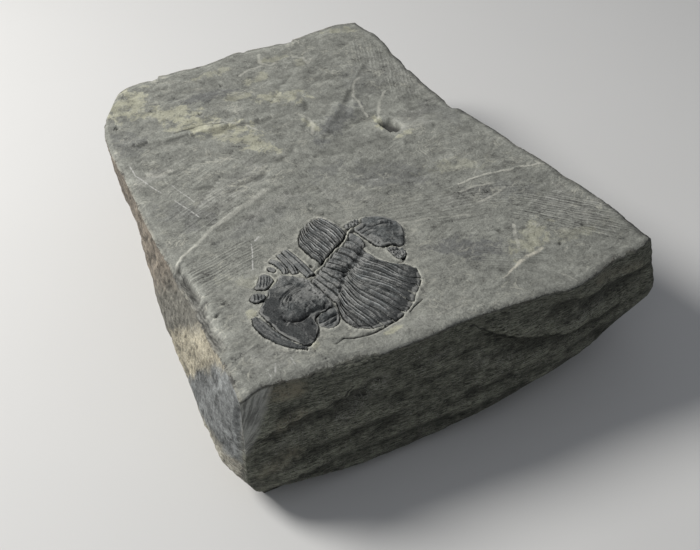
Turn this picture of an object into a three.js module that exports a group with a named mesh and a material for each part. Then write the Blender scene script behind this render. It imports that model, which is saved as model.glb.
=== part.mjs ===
// A trilobite preserved on a hand-sized slab of grey shale.
//
// Millimetres, +Z up. The slab lies on its broken base with the split bedding plane on top and the
// broken front edge facing -Y. The animal lies on the bedding plane near the front left corner, its
// head towards the corner and its tail towards +X +Y. Its hard plates are separate pieces: the head
// shield, the front border, the thoracic segments, the loose right-hand pleurae and the tail shield.
import * as THREE from "three";

// ---------------------------------------------------------------- driving dimensions

const SLAB_THICKNESS = 28; // base to bedding plane
const SIDE_WAVES = 0.5; // how far the broken sides wave in and out
const SEAT_DEPTH = 0.95; // floor of the shallow basin that holds the fossil, below the bedding plane
const PLATE_FLOOR = -0.6; // underside of every plate, measured from the bedding plane
const PLATE_LEAST = 0.3; // a plate is at least this thick
const PLATE_GAP = 0.16; // clear width between neighbouring plates

// Heights above the bedding plane.
const RING_CREST = 1.4;
const CRUMPLED_CREST = 0.85; // the first rings are crumpled behind the head
const FURROW_HEIGHT = 0.0;
const PLEURA_CREST = 0.75;
const PLEURA_TIP = 0.15;
const BAND_DROP = 0.42; // how far a groove cuts below the crest beside it

// ---------------------------------------------------------------- helpers

const clamp = THREE.MathUtils.clamp;
const smoothstep = THREE.MathUtils.smoothstep;
const lerp = THREE.MathUtils.lerp;

function spline(points, closed = false, level = 0) {
  const vectors = points.map(([x, y, z = level]) => new THREE.Vector3(x, y, z));
  return new THREE.CatmullRomCurve3(vectors, closed, "centripetal");
}

// Six times the volume that the faces enclose, which is negative when they point inwards.
function enclosedVolume(geometry) {
  const position = geometry.getAttribute("position");
  const index = geometry.getIndex();
  const [a, b, c] = [new THREE.Vector3(), new THREE.Vector3(), new THREE.Vector3()];
  let sum = 0;
  for (let i = 0; i < index.count; i += 3) {
    a.fromBufferAttribute(position, index.getX(i));
    b.fromBufferAttribute(position, index.getX(i + 1));
    c.fromBufferAttribute(position, index.getX(i + 2));
    sum += a.dot(b.cross(c));
  }
  return sum;
}

// Moves every vertex of a closed geometry to place(vertex, uv), and keeps the faces pointing out.
function reshape(geometry, place) {
  const position = geometry.getAttribute("position");
  const uv = geometry.getAttribute("uv");
  const from = new THREE.Vector3();
  for (let i = 0; i < position.count; i++) {
    from.fromBufferAttribute(position, i);
    const to = place(from, uv.getX(i), uv.getY(i));
    position.setXYZ(i, to.x, to.y, to.z);
  }
  if (enclosedVolume(geometry) < 0) {
    const index = geometry.getIndex();
    for (let i = 0; i < index.count; i += 3) {
      const second = index.getX(i + 1);
      index.setX(i + 1, index.getX(i + 2));
      index.setX(i + 2, second);
    }
  }
  geometry.computeVertexNormals();
  return geometry;
}

// A plate with a closed outline, star-shaped about its centre. height(x, y) gives its upper face.
function outlinedPlate({ outline, centre, around, rows, rim = 0.55, height }) {
  const edge = spline(outline, true);
  const topRows = rows - 2;
  return reshape(new THREE.SphereGeometry(1, around, rows), (_, u, v) => {
    const row = Math.round((1 - v) * rows);
    const share = row <= topRows ? row / topRows : row === rows ? 0 : 0.96;
    const rimPoint = edge.getPointAt(((u % 1) + 1) % 1);
    const x = lerp(centre[0], rimPoint.x, share);
    const y = lerp(centre[1], rimPoint.y, share);
    if (row > topRows) return new THREE.Vector3(x, y, PLATE_FLOOR);
    const fall = smoothstep(share, 0.82, 1) * rim;
    return new THREE.Vector3(x, y, Math.max(height(x, y) - fall, PLATE_FLOOR + PLATE_LEAST));
  });
}

// A long plate between two boundary curves. along runs 0 to 1 down both, across 0 to 1 between them.
function bandPlate({ front, rear, alongSteps, acrossSteps, height, taper }) {
  const box = new THREE.BoxGeometry(1, 1, 1, alongSteps, acrossSteps, 1);
  return reshape(box, (p) => {
    const along = p.x + 0.5;
    let across = p.y + 0.5;
    if (taper) across = taper(along, across);
    const a = front(along);
    const b = rear(along);
    const width = Math.max(a.distanceTo(b), 1e-3);
    const inset = Math.min(PLATE_GAP / 2 / width, 0.35);
    const point = a.lerp(b, lerp(inset, 1 - inset, across));
    const z = p.z < 0 ? PLATE_FLOOR : Math.max(height(along, p.y + 0.5), PLATE_FLOOR + PLATE_LEAST);
    return point.setZ(z);
  });
}

// An ellipse turned by angle, as a number that is 1 in its middle and 0 at its rim and beyond.
function swelling(x, y, { centre, half, angle }) {
  const turn = THREE.MathUtils.degToRad(angle);
  const dx = x - centre[0];
  const dy = y - centre[1];
  const along = (dx * Math.cos(turn) + dy * Math.sin(turn)) / half[0];
  const across = (dy * Math.cos(turn) - dx * Math.sin(turn)) / half[1];
  return clamp(1 - along * along - across * across, 0, 1);
}

// ---------------------------------------------------------------- shale slab

// The four edges at three levels: the bedding plane, the widest belt, and the base. The belt's points
// carry their own heights, measured from the bedding plane. Neighbouring edges share their corners.
const SLAB_EDGES = {
  top: {
    near: [[-45.6, -56.3], [-41.5, -54.9], [-37, -54.9], [-30, -55.7], [-20, -56.7], [-10, -57.5], [0, -57.2],
      [10, -58], [17, -58.5], [22, -59.4], [28, -58.2], [34, -56.3], [40, -56.3], [45, -54.6]],
    far: [[-30.5, 46.8], [-25.8, 52.6], [-20, 54.3], [-12, 55.4], [-4, 55.5], [2, 57], [7, 58.4],
      [14, 57.5], [22, 57.4], [30, 58.6], [36, 59.4], [41.4, 58]],
    left: [[-45.6, -56.3], [-44.6, -49], [-43.3, -37], [-42.4, -28], [-42, -17], [-41, -4], [-40, 6],
      [-38.9, 15], [-38.2, 24], [-37.2, 32], [-35, 39.5], [-30.5, 46.8]],
    right: [[45, -54.6], [45.3, -45], [45.2, -36], [44.1, -28], [43.9, -24], [42.6, -14], [41.6, -2],
      [40.8, 5], [39.6, 12], [39.9, 21], [40.4, 30], [41.3, 39], [42.4, 47], [41.4, 58]],
  },
  belt: {
    near: [[-45.6, -57, -18.5], [-39, -57.9, -21.5], [-28, -58.2, -24.4], [-15, -58.4, -25.2], [-4, -59, -24.4],
      [7, -60, -22], [16, -59.8, -20.6], [27, -58.4, -19.6], [36, -57.4, -17], [45.6, -56.8, -11.5]],
    far: [[-29.8, 47, -6], [-20, 55.4, -11], [-8, 56.6, -12], [4, 58.4, -12], [18, 58.2, -12], [30, 59.2, -11],
      [42.2, 58.4, -11]],
    left: [[-45.6, -57, -18.5], [-47.4, -50, -19], [-47, -43, -18], [-46.1, -33, -16.5], [-44.9, -23, -14.5],
      [-43.6, -12, -11], [-41.3, 0, -6.5], [-38.9, 14, -4.5], [-37.7, 25, -4.5], [-34.6, 39.4, -5],
      [-29.8, 47, -6]],
    right: [[45.6, -56.8, -11.5], [46.2, -45, -12], [45.9, -34, -12], [44.6, -18, -12], [42.6, -2, -12],
      [41, 12, -11], [41.4, 27, -12], [43, 42, -11], [42.2, 58.4, -11]],
  },
  base: {
    near: [[-41.4, -53.6], [-28, -54], [-15, -54], [-4, -52.5], [8, -49], [18, -45], [31, -38]],
    far: [[-22, 42], [-12, 48], [0, 50.5], [14, 51.6], [26, 52.4], [36, 51]],
    left: [[-41.4, -53.6], [-38.6, -40], [-35.8, -24], [-32, -8], [-29.5, 8], [-27, 26], [-22, 42]],
    right: [[31, -38], [35.5, -28], [37, -14], [36, 2], [35.4, 16], [36.4, 36], [36, 51]],
  },
};

function levelEdges(edges, level) {
  const splines = Object.entries(edges).map(([edge, points]) => [edge, spline(points, false, level)]);
  return Object.fromEntries(splines);
}

// A point of one level, from its four edges blended across the middle.
function slabPoint(level, u, v) {
  const { near, far, left, right } = level;
  const point = near.getPointAt(u).multiplyScalar(1 - v);
  point.addScaledVector(far.getPointAt(u), v);
  point.addScaledVector(left.getPointAt(v), 1 - u);
  point.addScaledVector(right.getPointAt(v), u);
  point.addScaledVector(near.getPointAt(0), -(1 - u) * (1 - v));
  point.addScaledVector(near.getPointAt(1), -u * (1 - v));
  point.addScaledVector(far.getPointAt(0), -(1 - u) * v);
  return point.addScaledVector(far.getPointAt(1), -u * v);
}

// The basin that preparation left round the fossil.
const BASIN = { centre: [-15.5, -35.5], half: [27.5, 20.5], angle: 32 };

// Height of the bedding plane's own relief.
function beddingHeight(x, y) {
  const swell = 0.22 * Math.sin(x * 0.11 + 0.9) * Math.sin(y * 0.085 - 0.4);
  const ledge = 0.3 * smoothstep(y - 0.55 * x, -2, 9) * smoothstep(-x, -18, 12);
  const basin = smoothstep(swelling(x, y, BASIN), 0, 0.2);
  return lerp(swell + ledge - 0.15, -SEAT_DEPTH, basin);
}

// Crowds grid lines so that `crowded` of them lie in the first `span` of the edge.
function crowd(t, span, crowded) {
  return t < crowded ? (t / crowded) * span : span + ((t - crowded) / (1 - crowded)) * (1 - span);
}

function shaleSlab() {
  const top = levelEdges(SLAB_EDGES.top, 0);
  const belt = levelEdges(SLAB_EDGES.belt, 0);
  const base = levelEdges(SLAB_EDGES.base, -SLAB_THICKNESS);
  const columns = 20;
  const rows = 25;
  const layers = 6;
  return reshape(new THREE.BoxGeometry(1, 1, 1, columns, rows, layers), (p) => {
    const u = crowd(p.x + 0.5, 0.56, 0.64);
    const v = crowd(p.y + 0.5, 0.42, 0.6);
    const upper = slabPoint(top, u, v);
    const lower = slabPoint(base, u, v);
    upper.z = beddingHeight(upper.x, upper.y);
    if (p.z === 0.5) return upper;
    if (p.z === -0.5) return lower;
    // From the bedding plane or from the base, the side swells out to the belt.
    const wide = slabPoint(belt, u, v);
    const from = p.z > 0 ? upper : lower;
    const share = 1 - 2 * Math.abs(p.z);
    const swell = Math.sin((share * Math.PI) / 2) ** (p.z > 0 ? 1 : 1.3);
    const point = from.clone().lerp(wide, swell);
    const waves = Math.sin(from.x * 0.31 + from.y * 0.23 + p.z * 9) * Math.sin(from.y * 0.17 - p.z * 5);
    const inward = new THREE.Vector3(-wide.x, -wide.y, 0).normalize();
    point.addScaledVector(inward, SIDE_WAVES * waves * share);
    return point.setZ(lerp(from.z, wide.z, share));
  });
}

// ---------------------------------------------------------------- head shield

const GLABELLA = { centre: [-25, -38.9], half: [5.6, 4.2], angle: 20 };

function cranidium() {
  return outlinedPlate({
    outline: [[-21, -33.9], [-21.9, -32.4], [-22.9, -31.2], [-24, -30.3], [-25.2, -30], [-26.1, -31.1],
      [-27.3, -31.9], [-28.7, -32.7], [-29.3, -34.1], [-30.7, -35.1], [-32.1, -36.4], [-32.9, -37.7],
      [-32.7, -39.2], [-32.5, -41], [-32.2, -43], [-31.6, -45.4], [-30.6, -47.7], [-29.6, -49.5],
      [-28.2, -49.3], [-26.8, -47.9], [-25.5, -46.3], [-25.2, -44.3], [-23.9, -43.1], [-21.9, -42.8],
      [-20.5, -42.2], [-20.3, -39.6], [-20.6, -36.4]],
    centre: [-26.2, -39.4],
    around: 40,
    rows: 10,
    rim: 0.45,
    height(x, y) {
      const dome = swelling(x, y, GLABELLA);
      const collar = swelling(x, y, { ...GLABELLA, half: [6.9, 5.4] });
      const occiput = swelling(x, y, { centre: [-20.6, -37.6], half: [1.1, 4.2], angle: 20 });
      return 0.35 - 0.3 * smoothstep(collar, 0, 0.25) + 1.55 * Math.sqrt(dome) + 0.3 * occiput;
    },
  });
}

function anteriorBorder() {
  const outer = spline([[-34.7, -37.9], [-35.4, -40], [-34.9, -43.6], [-33.6, -46.6], [-31.9, -48.9],
    [-29.9, -50.4]]);
  const inner = spline([[-33.7, -38.4], [-32.9, -40.4], [-32.5, -42.8], [-31.8, -45.5], [-30.8, -47.9],
    [-29.6, -49.9]]);
  return bandPlate({
    front: (t) => outer.getPointAt(t),
    rear: (t) => inner.getPointAt(t),
    alongSteps: 10,
    acrossSteps: 4,
    height(along, across) {
      const fullness = 0.7 + 0.3 * Math.sin(Math.PI * along);
      return 0.05 + 0.6 * Math.sin(Math.PI * across) * fullness;
    },
  });
}

function leftPalpebralFragment() {
  return outlinedPlate({
    outline: [[-24.1, -43.7], [-24.9, -45.2], [-24.4, -46.6], [-23.1, -47.3], [-21.6, -46.7], [-20.7, -45.2],
      [-20.4, -43.2], [-22.2, -43.2]],
    centre: [-22.7, -45],
    around: 14,
    rows: 6,
    height: (x, y) => 0.5 + 0.35 * swelling(x, y, { centre: [-22.4, -44.4], half: [2.4, 1.5], angle: 5 }),
  });
}

function rightCheekFragment({ outline, centre, angle }) {
  return outlinedPlate({
    outline,
    centre,
    around: 14,
    rows: 6,
    height: (x, y) => 0.2 + 0.4 * swelling(x, y, { centre, half: [2.6, 1.9], angle }),
  });
}

// ---------------------------------------------------------------- thorax

// The lines between segments, from the head end to the tail end. Each runs from the right furrow over
// the crown of the axial lobe and the left furrow to the root, and out along the left pleura to its tip.
const SEGMENT_LINES = [
  [[-20.3, -33.7], [-20.1, -37], [-19.6, -40.3], [-19.3, -42], [-19.9, -43.9], [-20.3, -46], [-20.2, -47.9],
    [-19.5, -49.6]],
  [[-19.3, -33.2], [-18.9, -36.2], [-18, -39.6], [-18.4, -41.4], [-18.8, -43.4], [-18.3, -45.8],
    [-17.6, -48.2], [-16.8, -51.1]],
  [[-18.3, -32.6], [-17.8, -35.2], [-16.9, -38.6], [-17.1, -40.2], [-17, -42.6], [-16.6, -45.5],
    [-15.8, -48], [-14.9, -51.3]],
  [[-17.3, -32], [-16.6, -34.4], [-15.5, -36.8], [-15.4, -38.9], [-15.4, -41.6], [-14.8, -44.4],
    [-13.6, -47], [-12.4, -51.2]],
  [[-16.3, -31.4], [-15.2, -33], [-13.6, -34.7], [-13.9, -37.2], [-13.6, -40], [-12.5, -42.9],
    [-11.2, -46], [-9.6, -50.3]],
  [[-15, -30.4], [-14.1, -32], [-12.6, -34.2], [-12.9, -36.7], [-12, -39.2], [-10.3, -41.3], [-8.7, -43.8],
    [-6.8, -48.4]],
  [[-13.7, -29.4], [-12.9, -31.3], [-11.7, -33.6], [-11.8, -35.8], [-10.5, -37.6], [-8.9, -39.8],
    [-7.4, -42.2], [-5, -46.5]],
  [[-11.8, -28.2], [-10.9, -30.3], [-10, -32.5], [-9.8, -34.7], [-8.4, -36.5], [-7, -38.6], [-5.8, -41.2],
    [-3.2, -44.9]],
  [[-9.8, -27.2], [-9, -29.5], [-8.4, -31.3], [-7.6, -34], [-6.3, -36], [-5.3, -38], [-4.5, -40.6],
    [-1.8, -43.1]],
  [[-7.9, -25.9], [-7.2, -28.1], [-6.9, -30], [-5.9, -34.6], [-4.7, -36.5], [-3.5, -37.3], [-2.3, -37.8],
    [-0.9, -39.8]],
];
const LEFT_PLEURAE = SEGMENT_LINES.length - 1; // segments that still carry their left pleura
const LAST_SEGMENT = LEFT_PLEURAE + 1;
const FURROW_SHARE = 2 / 7; // where the axial furrow lies along a line
const ROOT_SHARE = 3 / 7; // where the pleura begins

function guide(points) {
  const line = spline(points);
  return (t) => line.getPoint(t);
}

// Two raised bands with a pleural furrow between them, and low edges.
function bandProfile(across) {
  return BAND_DROP * (1 - Math.abs(Math.sin(2 * Math.PI * across)));
}

function segmentHeight(along, across, ringCrest) {
  if (along < FURROW_SHARE) {
    const arch = Math.sin((Math.PI * along) / FURROW_SHARE) ** 0.7;
    return lerp(FURROW_HEIGHT, ringCrest, arch) - BAND_DROP * (2 * Math.abs(across - 0.5)) ** 2;
  }
  if (along < ROOT_SHARE) return FURROW_HEIGHT - 0.1;
  const pleura = (along - ROOT_SHARE) / (1 - ROOT_SHARE);
  const crest = lerp(PLEURA_CREST, PLEURA_TIP, pleura ** 2.2) - 0.25 * (1 - pleura) ** 6;
  return crest - bandProfile(across) * (1 - 0.7 * smoothstep(pleura, 0.8, 1));
}

function thoracicSegment(number) {
  const ringCrest = lerp(CRUMPLED_CREST, RING_CREST, smoothstep(number, 2, 5));
  return bandPlate({
    front: guide(SEGMENT_LINES[number - 1]),
    rear: guide(SEGMENT_LINES[number]),
    alongSteps: 14,
    acrossSteps: 4,
    height: (along, across) => segmentHeight(along, across, ringCrest),
    taper: (along, across) => lerp(across, 0.06 + 0.88 * across, smoothstep(along, 0.92, 1)),
  });
}

// The last ring has lost its pleurae.
function lastRing() {
  const front = guide(SEGMENT_LINES[LEFT_PLEURAE].slice(0, 3));
  const rear = guide([[-6.5, -24], [-5.6, -26.4], [-5.7, -28.6]]);
  return bandPlate({
    front,
    rear,
    alongSteps: 8,
    acrossSteps: 4,
    height(along, across) {
      const ring = segmentHeight(along * FURROW_SHARE, 0.5, RING_CREST - 0.15);
      return ring - 0.6 * bandProfile(across);
    },
  });
}

// The loose right-hand fan: pleurae that broke away from their rings along the axial furrow.
// Each line runs from the furrow out to the tip.
const FAN_LINES = [
  [[-16.2, -29.9], [-16.9, -27.4], [-17.1, -25], [-17.1, -22.9], [-16.4, -21]],
  [[-14.9, -29.1], [-15.5, -26.8], [-15.7, -24.2], [-15.7, -21.8], [-14.9, -18.9]],
  [[-13.5, -28.1], [-14, -26], [-14.4, -23.8], [-14.6, -21.2], [-13.7, -17.9]],
  [[-12, -27], [-12.5, -24.6], [-13, -22.2], [-13.3, -19.9], [-12.6, -17.1]],
  [[-10.4, -26.2], [-10.7, -23.9], [-11, -21.6], [-11.4, -19.2], [-11.3, -16.5]],
  [[-8.9, -25.3], [-9, -23.3], [-9.3, -21], [-9.8, -18.7], [-10, -16.4]],
  [[-7.2, -23.5], [-7.5, -22], [-7.9, -20.3], [-8.4, -18.5], [-9, -16.9]],
];
const RIGHT_PLEURAE = FAN_LINES.length - 1;

function rightFanPleura(number) {
  return bandPlate({
    front: guide(FAN_LINES[number - 1]),
    rear: guide(FAN_LINES[number]),
    alongSteps: 8,
    acrossSteps: 4,
    height(along, across) {
      const arch = lerp(0.55, 1.15, Math.sin(Math.PI * along ** 0.8));
      return arch - bandProfile(across) - 0.3 * along;
    },
    taper: (along, across) => lerp(across, 0.1 + 0.8 * across, smoothstep(along, 0.85, 1)),
  });
}

// The front right pleurae lie apart like short fingers.
const FRONT_PLEURAE = [
  { path: [[-23.4, -29.4], [-23.2, -27.9], [-23.5, -25.9], [-24.3, -24.3]], width: 1.2 },
  { path: [[-21.9, -30.5], [-21.7, -28], [-22, -23.4]], width: 1.3 },
  { path: [[-19.6, -32.3], [-20, -28], [-20.4, -22.7]], width: 1.9 },
];

function frontPleura({ path, width }) {
  const line = spline(path);
  const side = (sign) => (t) => {
    const tangent = line.getTangentAt(t);
    const half = (width / 2 + PLATE_GAP / 2) * (0.55 + 0.45 * Math.sin(Math.PI * lerp(0.3, 0.85, t)));
    return line.getPointAt(t).add(new THREE.Vector3(-tangent.y, tangent.x, 0).multiplyScalar(sign * half));
  };
  return bandPlate({
    front: side(1),
    rear: side(-1),
    alongSteps: 7,
    acrossSteps: 3,
    height(along, across) {
      const fullness = Math.sin(Math.PI * lerp(0.25, 0.9, along));
      return 0.1 + 0.6 * Math.sin(Math.PI * across) * fullness;
    },
  });
}

function pleuralSpine() {
  return outlinedPlate({
    outline: [[-25, -28.1], [-24.75, -27.2], [-25.2, -26.4], [-25.8, -26.3], [-25.9, -27.1], [-25.5, -27.9]],
    centre: [-25.35, -27.2],
    around: 10,
    rows: 5,
    height: () => 0.45,
  });
}

// ---------------------------------------------------------------- tail shield

const PYGIDIAL_AXIS = { centre: [-1.7, -26.6], half: [3.9, 2], angle: 12 };

function pygidium() {
  return outlinedPlate({
    outline: [[3.5, -26.1], [3.1, -24.6], [2.2, -23.2], [0.8, -22.1], [-0.8, -21.3], [-2.2, -21.3],
      [-2.8, -22.5], [-4, -23.2], [-5.2, -23.6], [-5.2, -25], [-5, -26.4], [-4.5, -28], [-4.2, -29.6],
      [-3.5, -31], [-2.4, -31.3], [-1.2, -31.7], [0, -32.8], [0.9, -32.4], [1.9, -30.9], [2.8, -29],
      [3.4, -27.5]],
    centre: [-0.6, -26.9],
    around: 28,
    rows: 8,
    rim: 0.4,
    height(x, y) {
      const axis = swelling(x, y, PYGIDIAL_AXIS);
      const field = swelling(x, y, { centre: [-0.6, -26.9], half: [6.4, 7.4], angle: 0 });
      return 0.2 + 0.45 * field + 0.5 * Math.sqrt(axis);
    },
  });
}

function tailFragment({ outline, centre, around, crest }) {
  return outlinedPlate({ outline, centre, around, rows: 5, rim: 0.3, height: () => crest });
}

// ---------------------------------------------------------------- assembly

const shale = new THREE.MeshStandardMaterial({ color: "#7b7c77", roughness: 0.9, metalness: 0 });
const darkPlate = new THREE.MeshStandardMaterial({ color: "#3b3e3d", roughness: 0.6, metalness: 0 });

const pieces = {
  shale_slab: [shaleSlab(), shale],
  cranidium: [cranidium(), darkPlate],
  anterior_border: [anteriorBorder(), darkPlate],
  left_palpebral_fragment: [leftPalpebralFragment(), darkPlate],
  right_cheek_rear_fragment: [
    rightCheekFragment({
      outline: [[-26.6, -30.2], [-26.6, -28.7], [-27.2, -27.8], [-28.2, -27.8], [-28.9, -28.8], [-29.7, -29.8],
        [-30.7, -30.7], [-30, -31.4], [-28.9, -31.8], [-27.6, -31.1]],
      centre: [-28.2, -29.9],
      angle: 50,
    }),
    darkPlate,
  ],
  right_cheek_front_fragment: [
    rightCheekFragment({
      outline: [[-29.9, -33.6], [-30.6, -32.5], [-31.6, -32.1], [-32.5, -32.8], [-32.8, -33.7], [-31.8, -34.5],
        [-30.6, -34.4]],
      centre: [-31.4, -33.4],
      angle: 20,
    }),
    darkPlate,
  ],
  pleural_spine_fragment: [pleuralSpine(), darkPlate],
  pygidium: [pygidium(), darkPlate],
  pygidium_right_fragment: [
    tailFragment({
      outline: [[-3, -21.5], [-3.6, -21], [-4.8, -21], [-5.8, -21.4], [-6.5, -22.1], [-6, -22.7], [-4.7, -22.5],
        [-3.4, -22.3]],
      centre: [-4.8, -21.8],
      around: 12,
      crest: 0.55,
    }),
    darkPlate,
  ],
  pygidium_left_fragment: [
    tailFragment({
      outline: [[0.1, -33.8], [-0.2, -35], [-1, -36.1], [-2, -36.3], [-2.5, -35.1], [-2.7, -33.6],
        [-2.6, -32.2], [-1.4, -32.3], [-0.5, -33.2]],
      centre: [-1.4, -34.3],
      around: 14,
      crest: 0.5,
    }),
    darkPlate,
  ],
};
for (let i = 1; i <= LEFT_PLEURAE; i++) pieces[`thoracic_segment_${i}`] = [thoracicSegment(i), darkPlate];
pieces[`thoracic_segment_${LAST_SEGMENT}`] = [lastRing(), darkPlate];
FRONT_PLEURAE.forEach((row, i) => {
  pieces[`right_front_pleura_${i + 1}`] = [frontPleura(row), darkPlate];
});
for (let i = 1; i <= RIGHT_PLEURAE; i++) pieces[`right_fan_pleura_${i}`] = [rightFanPleura(i), darkPlate];

const specimen = new THREE.Group();
for (const [name, [geometry, material]] of Object.entries(pieces)) {
  const mesh = new THREE.Mesh(geometry, material);
  mesh.name = name;
  specimen.add(mesh);
}

// The origin is the middle of the specimen's footprint, at the height of its base.
const bounds = new THREE.Box3().setFromObject(specimen);
const middle = bounds.getCenter(new THREE.Vector3());
specimen.position.set(-middle.x, -middle.y, SLAB_THICKNESS);

const part = new THREE.Group();
part.add(specimen);

export default part;
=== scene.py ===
"""A trilobite in relief on a hand-sized slab of grey shale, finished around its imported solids.

Everything is in metres in the solids' own frame: +Z up, the slab's long side along Y, its broken
front edge facing -Y. Shapes are worked out in millimetres and scaled when a mesh is made.
"""

import math

import bmesh
import bpy
import numpy as np
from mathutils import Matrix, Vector
from mathutils.bvhtree import BVHTree


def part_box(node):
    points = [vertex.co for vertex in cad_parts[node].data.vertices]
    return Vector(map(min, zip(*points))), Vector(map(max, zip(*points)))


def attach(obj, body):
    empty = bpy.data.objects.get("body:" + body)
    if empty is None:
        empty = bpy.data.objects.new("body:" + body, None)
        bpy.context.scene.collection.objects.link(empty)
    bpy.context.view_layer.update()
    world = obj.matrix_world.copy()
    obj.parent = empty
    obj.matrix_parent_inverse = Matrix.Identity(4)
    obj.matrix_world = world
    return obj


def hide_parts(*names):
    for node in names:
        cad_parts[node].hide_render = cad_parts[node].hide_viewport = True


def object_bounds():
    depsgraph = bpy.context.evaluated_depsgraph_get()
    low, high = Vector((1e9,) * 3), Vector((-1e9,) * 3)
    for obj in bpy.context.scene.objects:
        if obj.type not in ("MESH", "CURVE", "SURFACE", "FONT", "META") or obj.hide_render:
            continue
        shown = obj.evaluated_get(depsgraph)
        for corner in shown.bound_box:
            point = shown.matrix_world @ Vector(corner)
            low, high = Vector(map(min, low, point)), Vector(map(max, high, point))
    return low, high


bl_info = {
    "name": "Trilobite on Shale",
    "version": (1, 0, 0),
    "blender": (4, 5, 0),
    "location": "3D View > Sidebar > Trilobite",
    "description": "Builds the looks of a trilobite on a shale slab around its packed solids",
    "category": "Add Mesh",
}

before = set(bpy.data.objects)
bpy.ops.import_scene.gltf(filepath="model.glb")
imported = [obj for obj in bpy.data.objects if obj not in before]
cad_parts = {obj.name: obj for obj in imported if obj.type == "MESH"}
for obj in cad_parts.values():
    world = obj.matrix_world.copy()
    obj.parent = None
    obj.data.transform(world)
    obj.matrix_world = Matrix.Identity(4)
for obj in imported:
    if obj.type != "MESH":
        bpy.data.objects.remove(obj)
CAD_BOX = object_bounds()

MM = 0.001
PLATE_SEAT = 0.6  # the plates' undersides lie this far below the bedding plane, in mm
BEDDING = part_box("cranidium")[0].z / MM + PLATE_SEAT  # height of the bedding plane, in mm
PLAN_ZERO = np.array([0.587, 0.522])  # where the plan positions below have their zero, in mm
BODY = "root"

PLATE_FLOOR = BEDDING - PLATE_SEAT
PLATE_GAP = 0.16  # clear width between neighbouring plates, in mm


# ---------------------------------------------------------------- number helpers


def smoothstep(value, low, high):
    share = np.clip((value - low) / (high - low), 0.0, 1.0)
    return share * share * (3.0 - 2.0 * share)


def lerp(low, high, share):
    return low + (high - low) * share


def bell(value, width):
    """1 where the value is 0, falling off smoothly on both sides."""
    return np.exp(-((value / width) ** 2))


def flat_points(x, y):
    """Plan positions as points at height 0, one in each row."""
    return np.stack([np.ravel(x), np.ravel(y), np.zeros(np.size(x))], axis=1)


def cell_value(x, y, z, seed):
    """A repeatable number from -1 to 1 for each whole-number cell corner."""
    mixed = (x * 374761393 + y * 668265263 + z * 1442695041 + seed * 974634777) & 0xFFFFFFFF
    mixed = ((mixed ^ (mixed >> 13)) * 1274126177) & 0xFFFFFFFF
    mixed = mixed ^ (mixed >> 16)
    return mixed / 2147483647.5 - 1.0


def noise(points, cell, seed):
    """Smooth noise from -1 to 1. cell is its size in mm, one number or one for each axis."""
    scaled = points / np.asarray(cell, float)
    corner = np.floor(scaled).astype(np.int64)
    share = scaled - corner
    share = share * share * (3.0 - 2.0 * share)
    total = np.zeros(len(points))
    for dx in (0, 1):
        for dy in (0, 1):
            for dz in (0, 1):
                weight = np.abs(1 - dx - share[:, 0]) * np.abs(1 - dy - share[:, 1])
                weight = weight * np.abs(1 - dz - share[:, 2])
                near = corner + (dx, dy, dz)
                total += weight * cell_value(near[:, 0], near[:, 1], near[:, 2], seed)
    return total


def fractal(points, cell, octaves, seed):
    """Noise added up over octaves, each half as large, from about -1 to 1."""
    total = np.zeros(len(points))
    size = np.asarray(cell, float)
    weight = 1.0
    weights = 0.0
    for octave in range(octaves):
        total += weight * noise(points, size, seed + octave * 101)
        weights += weight
        weight *= 0.5
        size = size / 2.03
    return total / weights


def smooth_curve(points, closed=False, even=True):
    """A centripetal spline as a function from 0..1. Even shares follow its length, others its points."""
    knots = np.array(points, float)
    if closed:
        knots = np.vstack([knots[-1], knots, knots[0], knots[1]])
    else:
        knots = np.vstack([2 * knots[0] - knots[1], knots, 2 * knots[-1] - knots[-2]])
    path = []
    for before, start, end, after in zip(knots, knots[1:], knots[2:], knots[3:]):
        gap = [math.sqrt(np.linalg.norm(b - a)) for a, b in ((before, start), (start, end), (end, after))]
        leave = (start - before) / gap[0] - (end - before) / (gap[0] + gap[1]) + (end - start) / gap[1]
        arrive = (end - start) / gap[1] - (after - start) / (gap[1] + gap[2]) + (after - end) / gap[2]
        t = np.linspace(0, 1, 25)[:-1, None]
        leave = leave * gap[1]
        arrive = arrive * gap[1]
        cubic = 2 * start - 2 * end + leave + arrive
        square = -3 * start + 3 * end - 2 * leave - arrive
        path.append(cubic * t**3 + square * t**2 + leave * t + start)
    path = np.vstack(path + [knots[-2]])
    if even:
        shares = np.concatenate([[0], np.cumsum(np.linalg.norm(np.diff(path, axis=0), axis=1))])
        shares /= shares[-1]
    else:
        shares = np.linspace(0, 1, len(path))

    def place(t):
        return np.stack([np.interp(t, shares, path[:, axis]) for axis in range(path.shape[1])], axis=-1)

    return place


def path_distance(x, y, points):
    """Distance in plan from each (x, y) to a chain of straight stretches, and the share along it."""
    nearest = np.full(x.shape, 1e9)
    along = np.zeros(x.shape)
    chain = np.array(points, float)
    total = np.linalg.norm(np.diff(chain, axis=0), axis=1).sum()
    passed = 0.0
    for start, end in zip(chain, chain[1:]):
        stretch = end - start
        length = np.linalg.norm(stretch)
        share = np.clip(((x - start[0]) * stretch[0] + (y - start[1]) * stretch[1]) / length**2, 0, 1)
        distance = np.hypot(x - start[0] - share * stretch[0], y - start[1] - share * stretch[1])
        along = np.where(distance < nearest, (passed + share * length) / total, along)
        nearest = np.minimum(nearest, distance)
        passed += length
    return nearest, along


def ellipse(x, y, centre, half, angle):
    """1 in the middle of a turned ellipse, 0 on its rim and negative outside."""
    turn = math.radians(angle)
    along = ((x - centre[0]) * math.cos(turn) + (y - centre[1]) * math.sin(turn)) / half[0]
    across = ((y - centre[1]) * math.cos(turn) - (x - centre[0]) * math.sin(turn)) / half[1]
    return 1 - np.hypot(along, across)


# ---------------------------------------------------------------- mesh helpers


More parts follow.
